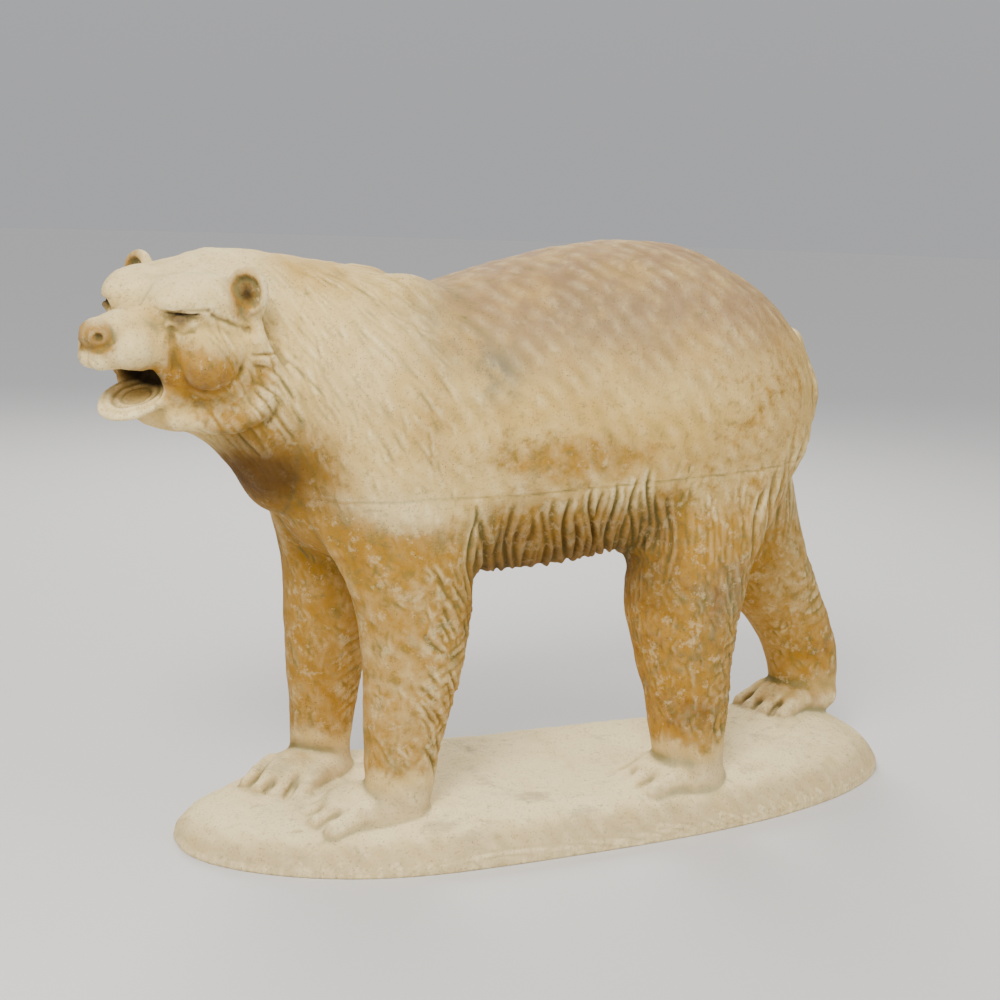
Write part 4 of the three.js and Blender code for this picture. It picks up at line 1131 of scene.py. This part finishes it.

# heights and places along the body between which each part of the patina, and of the painted shade,
# fades in or out
RAGGED = [(0.030, 0.100), (0.016, 0.040)]  # how uneven the fading is: depth and size
ANKLES = (0.15, 0.21)
LEG_TOPS = (0.58, 0.76)
FAR_HIND_FROM = (0.70, 0.85)
NEAR_FORELEG_FRONT = ((-0.20, -0.22, 0.40), (0.10, 0.12, 0.30))
BELLY_X = ((-0.10, 0.02), (0.36, 0.44))
BELLY_Z = ((0.45, 0.50), (0.64, 0.80))
HAUNCH_FROM = (0.30, 0.50)
HAUNCH_Z = ((0.18, 0.24), (0.72, 0.98))
BACK_Z = (0.90, 1.12)
BACK_X = ((-0.25, 0.0), (0.60, 0.80))
BLEACHED = (0.125, 0.185)
MOUND_SIDE = (0.60, 0.97)  # how much the mound faces up
HEAD_FROM = (-0.15, -0.05)
CROWN_FROM = (-0.02, 0.05)
MUZZLE_FROM = (0.13, 0.20)
STAINED = (0.2, 0.9)
STAINS_FROM = 0.60  # the height from which stains keep the stone from bleaching

# how strong each part of the patina and of the painted shade is, and how much weaker it is in some
# places; the shade under the belly and the dark of the mouth and of the eye slit are painted shade, and
# the pink of the mound's side is partly painted shade
LEG_OCHRE = 0.68
BELLY_OCHRE = 0.75
HAUNCH_OCHRE = 0.30
BACK_PINK = 0.95
MOUND_SIDE_PINK_AND_SHADE = 0.8
BELLY_SHADE = 0.40
CROWN_PALE = 0.5
MUZZLE_PALE = 0.35
MOUTH_DARK = 1.4
EYE_SLIT_DARK = 0.85
LESS_ON_FAR_HIND_LEG = 0.65
LESS_BEFORE_NEAR_FORELEG = 0.3
LESS_PINK_ON_RUMP = 0.8
LESS_PALE_IN_MOUND_SIDE_SHADE = 0.6
LESS_PALE_WHERE_STAINED = 0.9

# how many times a surface is evened out to find its fine and its broad relief, and the depth of
# each that counts in full
FINE_ROUNDS = 6
FINE_DEPTH = 0.0006
BROAD_ROUNDS = 40
BROAD_DEPTH = 0.004
HOLLOW_SHARES = (0.7, 0.5)  # of the fine and the broad relief
RIDGE_SHARES = (0.7, 0.4)


def hollows_and_ridges(p, n, quads):
    """How deep each point lies in the relief, and how far it stands out of it."""
    fine = ((p - spread(p, quads, FINE_ROUNDS)) * n).sum(1) / FINE_DEPTH
    broad = ((p - spread(p, quads, BROAD_ROUNDS)) * n).sum(1) / BROAD_DEPTH
    hollow = np.clip(-fine, 0, 1) * HOLLOW_SHARES[0] + np.clip(-broad, 0, 1) * HOLLOW_SHARES[1]
    ridge = np.clip(fine, 0, 1) * RIDGE_SHARES[0] + np.clip(broad, 0, 1) * RIDGE_SHARES[1]
    return hollow, ridge


def band(limits, value):
    """1 between both limits, each of which is an edge that fades, and 0 outside them."""
    return smooth_step(*limits[0], value) * (1 - smooth_step(*limits[1], value))


def stain_body(masks, x, z, p, n):
    legs = band((ANKLES, LEG_TOPS), z)
    legs *= 1 - LESS_ON_FAR_HIND_LEG * smooth_step(*FAR_HIND_FROM, x)
    legs *= 1 - LESS_BEFORE_NEAR_FORELEG * blob(p, *NEAR_FORELEG_FRONT)
    belly = band(BELLY_X, x) * band(BELLY_Z, z)
    haunch = smooth_step(*HAUNCH_FROM, x) * band(HAUNCH_Z, z)
    masks["ochre"] += LEG_OCHRE * legs + BELLY_OCHRE * belly + HAUNCH_OCHRE * haunch
    masks["shade"] += BELLY_SHADE * belly
    back = smooth_step(*BACK_Z, z) * smooth_step(*BACK_X[0], x)
    back *= 1 - LESS_PINK_ON_RUMP * smooth_step(*BACK_X[1], x)
    low = 1 - smooth_step(*BLEACHED, z)
    # the mound's steep side, which faces away from the sky, is made pinker and less pale: partly a
    # pinker tone, partly painted shade
    side = low * (1 - smooth_step(*MOUND_SIDE, n[:, 2]))
    masks["pink"] += BACK_PINK * back + MOUND_SIDE_PINK_AND_SHADE * side
    masks["pale"] += low - LESS_PALE_IN_MOUND_SIDE_SHADE * side


def stain_head(masks, q, m):
    on_head = smooth_step(*HEAD_FROM, q[:, 0])
    crown = CROWN_PALE * on_head * smooth_step(*CROWN_FROM, q[:, 2])
    muzzle = MUZZLE_PALE * on_head * smooth_step(*MUZZLE_FROM, q[:, 0])
    masks["pale"] = np.maximum(masks["pale"], np.maximum(crown, muzzle))
    # painted shade inside the open mouth, and painted shadow of the brow along the eye slit
    masks["dark"] += MOUTH_DARK * blob(q, *MOUTH)
    slit = rod(m, *EYE_SLIT, 0, 0) / EYE_SLIT_WIDTH
    masks["dark"] += EYE_SLIT_DARK * np.exp(-slit * slit)


def patina_and_painted_shade(p, n, quads):
    random = np.random.default_rng(PATINA_SEED)
    q, m = in_head(p)
    masks = {name: np.zeros(len(p)) for name in MASKS}
    z = p[:, 2] + sum(depth * lumps(p, size, random) for depth, size in RAGGED)
    stain_body(masks, p[:, 0], z, p, n)
    stain_head(masks, q, m)
    for points, stains in ((p, BODY_STAINS_AND_SHADE), (m, FACE_STAINS_AND_SHADE)):
        for name, strength, centre, radii in stains:
            masks[name] += strength * blob(points, centre, radii)
    stained = smooth_step(*STAINED, masks["ochre"]) * (z > STAINS_FROM)
    masks["pale"] *= 1 - LESS_PALE_WHERE_STAINED * stained
    masks["hollow"], masks["ridge"] = hollows_and_ridges(p, n, quads)
    return {name: np.clip(values, 0, 1) for name, values in masks.items()}


def make_casting():
    vertices, quads = carved_casting()
    n = normals_of(vertices, quads)
    masks = patina_and_painted_shade(vertices, n, quads)
    mesh = bpy.data.meshes.new("bear_on_mound_carved")
    mesh.vertices.add(len(vertices))
    mesh.vertices.foreach_set("co", (vertices - MIDDLE).astype(np.float32).ravel())
    mesh.loops.add(4 * len(quads))
    mesh.loops.foreach_set("vertex_index", quads.ravel().astype(np.int32))
    mesh.polygons.add(len(quads))
    mesh.polygons.foreach_set("loop_start", np.arange(0, 4 * len(quads), 4, dtype=np.int32))
    mesh.polygons.foreach_set("use_smooth", np.ones(len(quads), bool))
    mesh.update(calc_edges=True)
    for name, values in masks.items():
        attribute = mesh.attributes.new(name, "FLOAT", "POINT")
        attribute.data.foreach_set("value", values.astype(np.float32))
    piece = bpy.data.objects.new("carved_bear", mesh)
    bpy.context.scene.collection.objects.link(piece)
    thin = piece.modifiers.new("thin", "DECIMATE")
    thin.ratio = MOST_TRIANGLES / (2 * len(quads))
    thin.use_collapse_triangulate = True
    bpy.context.view_layer.update()
    thinned = bpy.data.meshes.new_from_object(piece.evaluated_get(bpy.context.evaluated_depsgraph_get()))
    piece.modifiers.clear()
    piece.data = thinned
    piece.data.polygons.foreach_set("use_smooth", np.ones(len(thinned.polygons), bool))
    bpy.data.meshes.remove(mesh)
    return piece


# Material

EYE_OFFSET = 0.055
EYE_POWER = 2.4


def tone(red, green, blue):
    """A colour as the eye sees it, 0 to 255, as linear light."""
    parts = (red, green, blue)
    linear = [((part / 255 + EYE_OFFSET) / (1 + EYE_OFFSET)) ** EYE_POWER for part in parts]
    return (*linear, 1.0)


CREAM = tone(222, 190, 118)
SAND = tone(204, 166, 88)
TAN = tone(170, 134, 72)
OCHRE = tone(164, 116, 12)
RUST = tone(116, 68, 4)
OLIVE = tone(112, 98, 40)
PINK = tone(152, 118, 84)
GREY = tone(122, 114, 92)
VERDIGRIS = tone(118, 116, 68)
BONE = tone(255, 236, 182)
UMBER_SHADE = tone(20, 11, 3)
SHADOW = tone(64, 38, 8)
MOSS_AND_SHADE = tone(78, 62, 24)
SCUFF = tone(206, 180, 128)

# noises of the stone: how fine the noise is, how many finer ones it holds, and how strong these are
BROAD = (4.0, 3.0)
PATCHES = (11.0, 8.0, 0.68)
STREAKS = (1.0, 6.0, 0.6)
MOTTLE = (46.0, 8.0, 0.72)
GRAIN = (190.0, 4.0, 0.65)
MOULD = (23.0, 7.0, 0.70)
SCUFFS = (30.0, 9.0, 0.74)
SMEARS = (7.0, 7.0, 0.65)
PIT_FIELDS = (16.0, 4.0)
STREAKS_SCALE = (60, 60, 14)
SMEARS_SCALE = (1, 1, 3)
PITS_SCALE = 150.0

# layers of the colour: where a noise or a mask starts and ends to show it, and its strength there
SAND_AREAS = (0.42, 0.62)
SAND_SPOTS = (0.46, 0.62, 0.0, 0.45)
WORN_AND_SHADED = (0.25, 0.60, 0.45, 0.95)
TANNED = (0.05, 0.55, 0.0, 0.75)
OCHRE_STAIN = (0.20, 0.75, 0.0, 0.95)
RUST_STAIN = (0.85, 1.30, 0.0, 0.75)
MOULD_SPOTS = (0.50, 0.64, 0.0, 0.55)
MOULD_ON_OCHRE = (0.1, 0.6)
DULL = (0.38, 0.55, 0.2, 0.85)
DAMP = (0.35, 0.60, 0.25, 0.85)
# the deepest hollows: partly moss, partly painted shade
DEEP_MOSS_AND_SHADE = (0.45, 1.0, 0.0, 0.32)
RUBBED = (0.35, 0.65, 0.25, 0.75)
RUBBED_ON_OCHRE = (0.2, 0.9, 1.0, 0.35)
SCUFF_SPOTS = (0.54, 0.62, 0.0, 0.60)
SCUFFS_ON_OCHRE = (0.15, 0.5)
WASHED = (0.25, 0.60, 0.65, 0.95)
SMEARED = (0.54, 0.70, 0.0, 0.45)
GREEN_SPOTS = (0.55, 0.70, 0.0, 0.40)
PINK_GRAINS = (0.55, 0.70, 0.0, 0.60)
SHADED = 0.85
# painted shade in the mouth, the eye slit, the ear's hollow and the nostril
DARK = (0.15, 0.8, 0.0, 0.97)
PIT_EDGES = (0.02, 0.30)
# painted shade in the pits
PIT_DARK = (0.0, 0.6, 0.85, 0.0)
PITTED = (0.44, 0.58)
ROUGH = (0.3, 0.7, 0.68, 0.88)
SPECULAR = 0.20

# how much patches, mottle and streaks make the ochre uneven
UNEVEN = (1.2, 1.1, 0.7)

# bumps of the surface: the noise, its height in metres, and its strength
BUMPS = [
    ("patches", 0.005, 0.40),
    ("streaks", 0.004, 0.45),
    ("mottle", 0.005, 0.75),
    ("grain", 0.0015, 0.70),
    ("pits", 0.0012, 0.45),
]


class Nodes:
    """Short names for the shader nodes that the stone is made of."""

    def __init__(self, material):
        self.tree = material.node_tree
        self.place = self.make("ShaderNodeTexCoord").outputs["Object"]

    def make(self, kind):
        return self.tree.nodes.new(kind)

    def set(self, socket, value):
        if isinstance(value, bpy.types.NodeSocket):
            self.tree.links.new(value, socket)
        else:
            socket.default_value = value

    def mask(self, name):
        node = self.make("ShaderNodeAttribute")
        node.attribute_name = name
        return node.outputs["Fac"]

    def stretched(self, scale):
        node = self.make("ShaderNodeMapping")
        self.set(node.inputs["Vector"], self.place)
        node.inputs["Scale"].default_value = scale
        return node.outputs["Vector"]

    def noise(self, scale, detail=4.0, rough=0.55, vector=None):
        node = self.make("ShaderNodeTexNoise")
        self.set(node.inputs["Vector"], vector or self.place)
        node.inputs["Scale"].default_value = scale
        node.inputs["Detail"].default_value = detail
        node.inputs["Roughness"].default_value = rough
        return node.outputs["Fac"]

    def cells(self, scale):
        node = self.make("ShaderNodeTexVoronoi")
        self.set(node.inputs["Vector"], self.place)
        node.inputs["Scale"].default_value = scale
        return node.outputs["Distance"]

    def step(self, value, low, high, to_low=0.0, to_high=1.0):
        node = self.make("ShaderNodeMapRange")
        node.interpolation_type = "SMOOTHSTEP"
        self.set(node.inputs["Value"], value)
        node.inputs["From Min"].default_value = low
        node.inputs["From Max"].default_value = high
        node.inputs["To Min"].default_value = to_low
        node.inputs["To Max"].default_value = to_high
        return node.outputs["Result"]

    def math(self, operation, a, b):
        node = self.make("ShaderNodeMath")
        node.operation = operation
        self.set(node.inputs[0], a)
        self.set(node.inputs[1], b)
        return node.outputs["Value"]

    def mix(self, factor, a, b):
        node = self.make("ShaderNodeMix")
        node.data_type = "RGBA"
        self.set(node.inputs["Factor"], factor)
        self.set(node.inputs["A"], a)
        self.set(node.inputs["B"], b)
        return node.outputs["Result"]

    def bump(self, height, distance, strength, before=None):
        node = self.make("ShaderNodeBump")
        self.set(node.inputs["Height"], height)
        node.inputs["Distance"].default_value = distance
        node.inputs["Strength"].default_value = strength
        if before is not None:
            self.set(node.inputs["Normal"], before)
        return node.outputs["Normal"]


def stone_colour(s):
    """The stone's colour with its painted shade, layer on layer, and the noises that its bumps share."""
    broad = s.noise(*BROAD)
    patches = s.noise(*PATCHES)
    streaks = s.noise(*STREAKS, s.stretched(STREAKS_SCALE))
    mottle = s.noise(*MOTTLE)
    grain = s.noise(*GRAIN)
    colour = s.mix(s.step(broad, *SAND_AREAS), CREAM, SAND)
    colour = s.mix(s.step(mottle, *SAND_SPOTS), colour, SAND)
    # pink where the back is worn, and on the mound's steep side, where it is partly painted shade
    worn_and_shaded = s.math("MULTIPLY", s.mask("pink"), s.step(patches, *WORN_AND_SHADED))
    colour = s.mix(worn_and_shaded, colour, PINK)
    stain = s.math("SUBTRACT", s.mask("ochre"), sum(UNEVEN) / 2)
    for noise, share in zip((patches, mottle, streaks), UNEVEN):
        stain = s.math("ADD", stain, s.math("MULTIPLY", noise, share))
    colour = s.mix(s.step(s.mask("ochre"), *TANNED), colour, TAN)
    colour = s.mix(s.step(stain, *OCHRE_STAIN), colour, OCHRE)
    colour = s.mix(s.step(stain, *RUST_STAIN), colour, RUST)
    mould = s.step(s.noise(*MOULD), *MOULD_SPOTS)
    colour = s.mix(s.math("MULTIPLY", mould, s.step(s.mask("ochre"), *MOULD_ON_OCHRE)), colour, OLIVE)
    dull = s.math("MULTIPLY", s.mask("grey"), s.step(patches, *DULL))
    colour = s.mix(dull, colour, GREY)
    damp = s.math("MULTIPLY", s.mask("hollow"), s.step(broad, *DAMP))
    colour = s.mix(damp, colour, VERDIGRIS)
    # the deepest hollows darkened to dark moss green: partly moss, partly painted shade
    colour = s.mix(s.step(s.mask("hollow"), *DEEP_MOSS_AND_SHADE), colour, MOSS_AND_SHADE)
    rubbed = s.math("MULTIPLY", s.mask("ridge"), s.step(streaks, *RUBBED))
    rubbed = s.math("MULTIPLY", rubbed, s.step(s.mask("ochre"), *RUBBED_ON_OCHRE))
    colour = s.mix(rubbed, colour, BONE)
    scuffs = s.step(s.noise(*SCUFFS), *SCUFF_SPOTS)
    colour = s.mix(s.math("MULTIPLY", scuffs, s.step(s.mask("ochre"), *SCUFFS_ON_OCHRE)), colour, SCUFF)
    washed = s.math("MULTIPLY", s.mask("pale"), s.step(patches, *WASHED))
    colour = s.mix(washed, colour, BONE)
    smears = s.step(s.noise(*SMEARS, s.stretched(SMEARS_SCALE)), *SMEARED)
    colour = s.mix(s.math("MULTIPLY", s.mask("pale"), smears), colour, GREY)
    colour = s.mix(s.step(mottle, *GREEN_SPOTS), colour, VERDIGRIS)
    colour = s.mix(s.step(grain, *PINK_GRAINS), colour, PINK)
    colour = s.mix(s.math("MULTIPLY", s.mask("shade"), SHADED), colour, SHADOW)
    # painted shade: the dark of the mouth, the eye slit, the ear's hollow and the nostril
    colour = s.mix(s.step(s.mask("dark"), *DARK), colour, UMBER_SHADE)
    return colour, {"patches": patches, "streaks": streaks, "mottle": mottle, "grain": grain}


def stone():
    material = bpy.data.materials.new("weathered_cast_stone_and_painted_shade")
    material.use_nodes = True
    material.node_tree.nodes.clear()
    s = Nodes(material)
    colour, heights = stone_colour(s)
    pits = s.step(s.cells(PITS_SCALE), *PIT_EDGES)
    # the pits' centres darkened: painted shade in them
    pitted = s.mix(s.step(pits, *PIT_DARK), colour, UMBER_SHADE)
    colour = s.mix(s.step(s.noise(*PIT_FIELDS), *PITTED), colour, pitted)
    heights["pits"] = pits
    normal = None
    for name, distance, strength in BUMPS:
        normal = s.bump(heights[name], distance, strength, normal)
    shader = s.make("ShaderNodeBsdfPrincipled")
    s.set(shader.inputs["Base Color"], colour)
    s.set(shader.inputs["Roughness"], s.step(heights["streaks"], *ROUGH))
    s.set(shader.inputs["Specular IOR Level"], SPECULAR)
    s.set(shader.inputs["Normal"], normal)
    output = s.make("ShaderNodeOutputMaterial")
    s.set(output.inputs["Surface"], shader.outputs["BSDF"])
    return material


# Stage: floor, soft lights and the camera

TARGET = np.array([0.0, 0.0, 0.69])
AZIMUTH = math.radians(-23)
ELEVATION = math.radians(11)
ROLL = math.radians(1.8)
DISTANCE = 3.6
WIDE = 2.10
TARGET_PIXEL_X = 455
PICTURE = 1000
SENSOR = 36.0
HORIZON_LIGHT = 0.46
SKY_LIGHT = 0.70
SKY_FROM = 0.6  # how far up the light is the sky's in full
SKY_COLOUR = (0.96, 0.97, 1.0, 1)
FLOOR_COLOUR = (0.70, 0.69, 0.67, 1)
FLOOR_ROUGHNESS = 0.9
FLOOR_RADIUS = 30
FLOOR_EDGES = 96

# lights: place, size, power and colour
LIGHTS = {
    "key": ((-2.6, -3.2, 4.2), 2.0, 340, (1.0, 0.97, 0.92)),
    "fill": ((3.4, -3.4, 2.4), 3.5, 80, (0.94, 0.97, 1.0)),
    "rim": ((1.2, 4.2, 3.8), 2.6, 200, (1.0, 0.98, 0.94)),
}
LIGHTS_AIM = (0, 0, 0.7)


def make_floor():
    bpy.ops.mesh.primitive_circle_add(vertices=FLOOR_EDGES, radius=FLOOR_RADIUS, fill_type="NGON")
    floor = bpy.context.object
    floor.name = "floor"
    material = bpy.data.materials.new("pale_floor")
    material.use_nodes = True
    shader = material.node_tree.nodes["Principled BSDF"]
    shader.inputs["Base Color"].default_value = FLOOR_COLOUR
    shader.inputs["Roughness"].default_value = FLOOR_ROUGHNESS
    floor.data.materials.append(material)


def area_light(name, place, size, power, colour):
    data = bpy.data.lights.new(name, "AREA")
    data.shape = "DISK"
    data.size = size
    data.energy = power
    data.color = colour
    light = bpy.data.objects.new(name, data)
    light.location = place
    light.rotation_euler = (Vector(LIGHTS_AIM) - Vector(place)).to_track_quat("-Z", "Y").to_euler()
    bpy.context.scene.collection.objects.link(light)


def make_world():
    """Soft pale light from all round, no brighter at the horizon than the floor is there."""
    world = bpy.data.worlds.new("studio")
    bpy.context.scene.world = world
    world.use_nodes = True
    nodes = world.node_tree.nodes
    links = world.node_tree.links
    parts = nodes.new("ShaderNodeSeparateXYZ")
    links.new(nodes.new("ShaderNodeTexCoord").outputs["Generated"], parts.inputs[0])
    rise = nodes.new("ShaderNodeMapRange")
    rise.interpolation_type = "SMOOTHSTEP"
    rise.inputs["From Max"].default_value = SKY_FROM
    rise.inputs["To Min"].default_value = HORIZON_LIGHT
    rise.inputs["To Max"].default_value = SKY_LIGHT
    links.new(parts.outputs["Z"], rise.inputs["Value"])
    links.new(rise.outputs["Result"], nodes["Background"].inputs["Strength"])
    nodes["Background"].inputs["Color"].default_value = SKY_COLOUR


def make_camera():
    back = np.array([
        math.sin(AZIMUTH) * math.cos(ELEVATION),
        -math.cos(AZIMUTH) * math.cos(ELEVATION),
        math.sin(ELEVATION),
    ])
    level = np.array([math.cos(AZIMUTH), math.sin(AZIMUTH), 0])
    rise = np.cross(back, level)
    right = level * math.cos(ROLL) + rise * math.sin(ROLL)
    up = rise * math.cos(ROLL) - level * math.sin(ROLL)
    place = TARGET - MIDDLE + back * DISTANCE
    data = bpy.data.cameras.new("camera")
    data.sensor_width = SENSOR
    data.lens = SENSOR * DISTANCE / WIDE
    data.shift_x = 0.5 - TARGET_PIXEL_X / PICTURE
    camera = bpy.data.objects.new("camera", data)
    turn = np.eye(4)
    turn[:3, 0], turn[:3, 1], turn[:3, 2], turn[:3, 3] = right, up, back, place
    camera.matrix_world = Matrix(turn.tolist())
    bpy.context.scene.collection.objects.link(camera)
    bpy.context.scene.camera = camera


piece = make_casting()
piece.data.materials.append(stone())
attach(piece, "root")
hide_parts("bear_on_mound")
make_floor()
for name, light in LIGHTS.items():
    area_light(name, *light)
make_world()
make_camera()
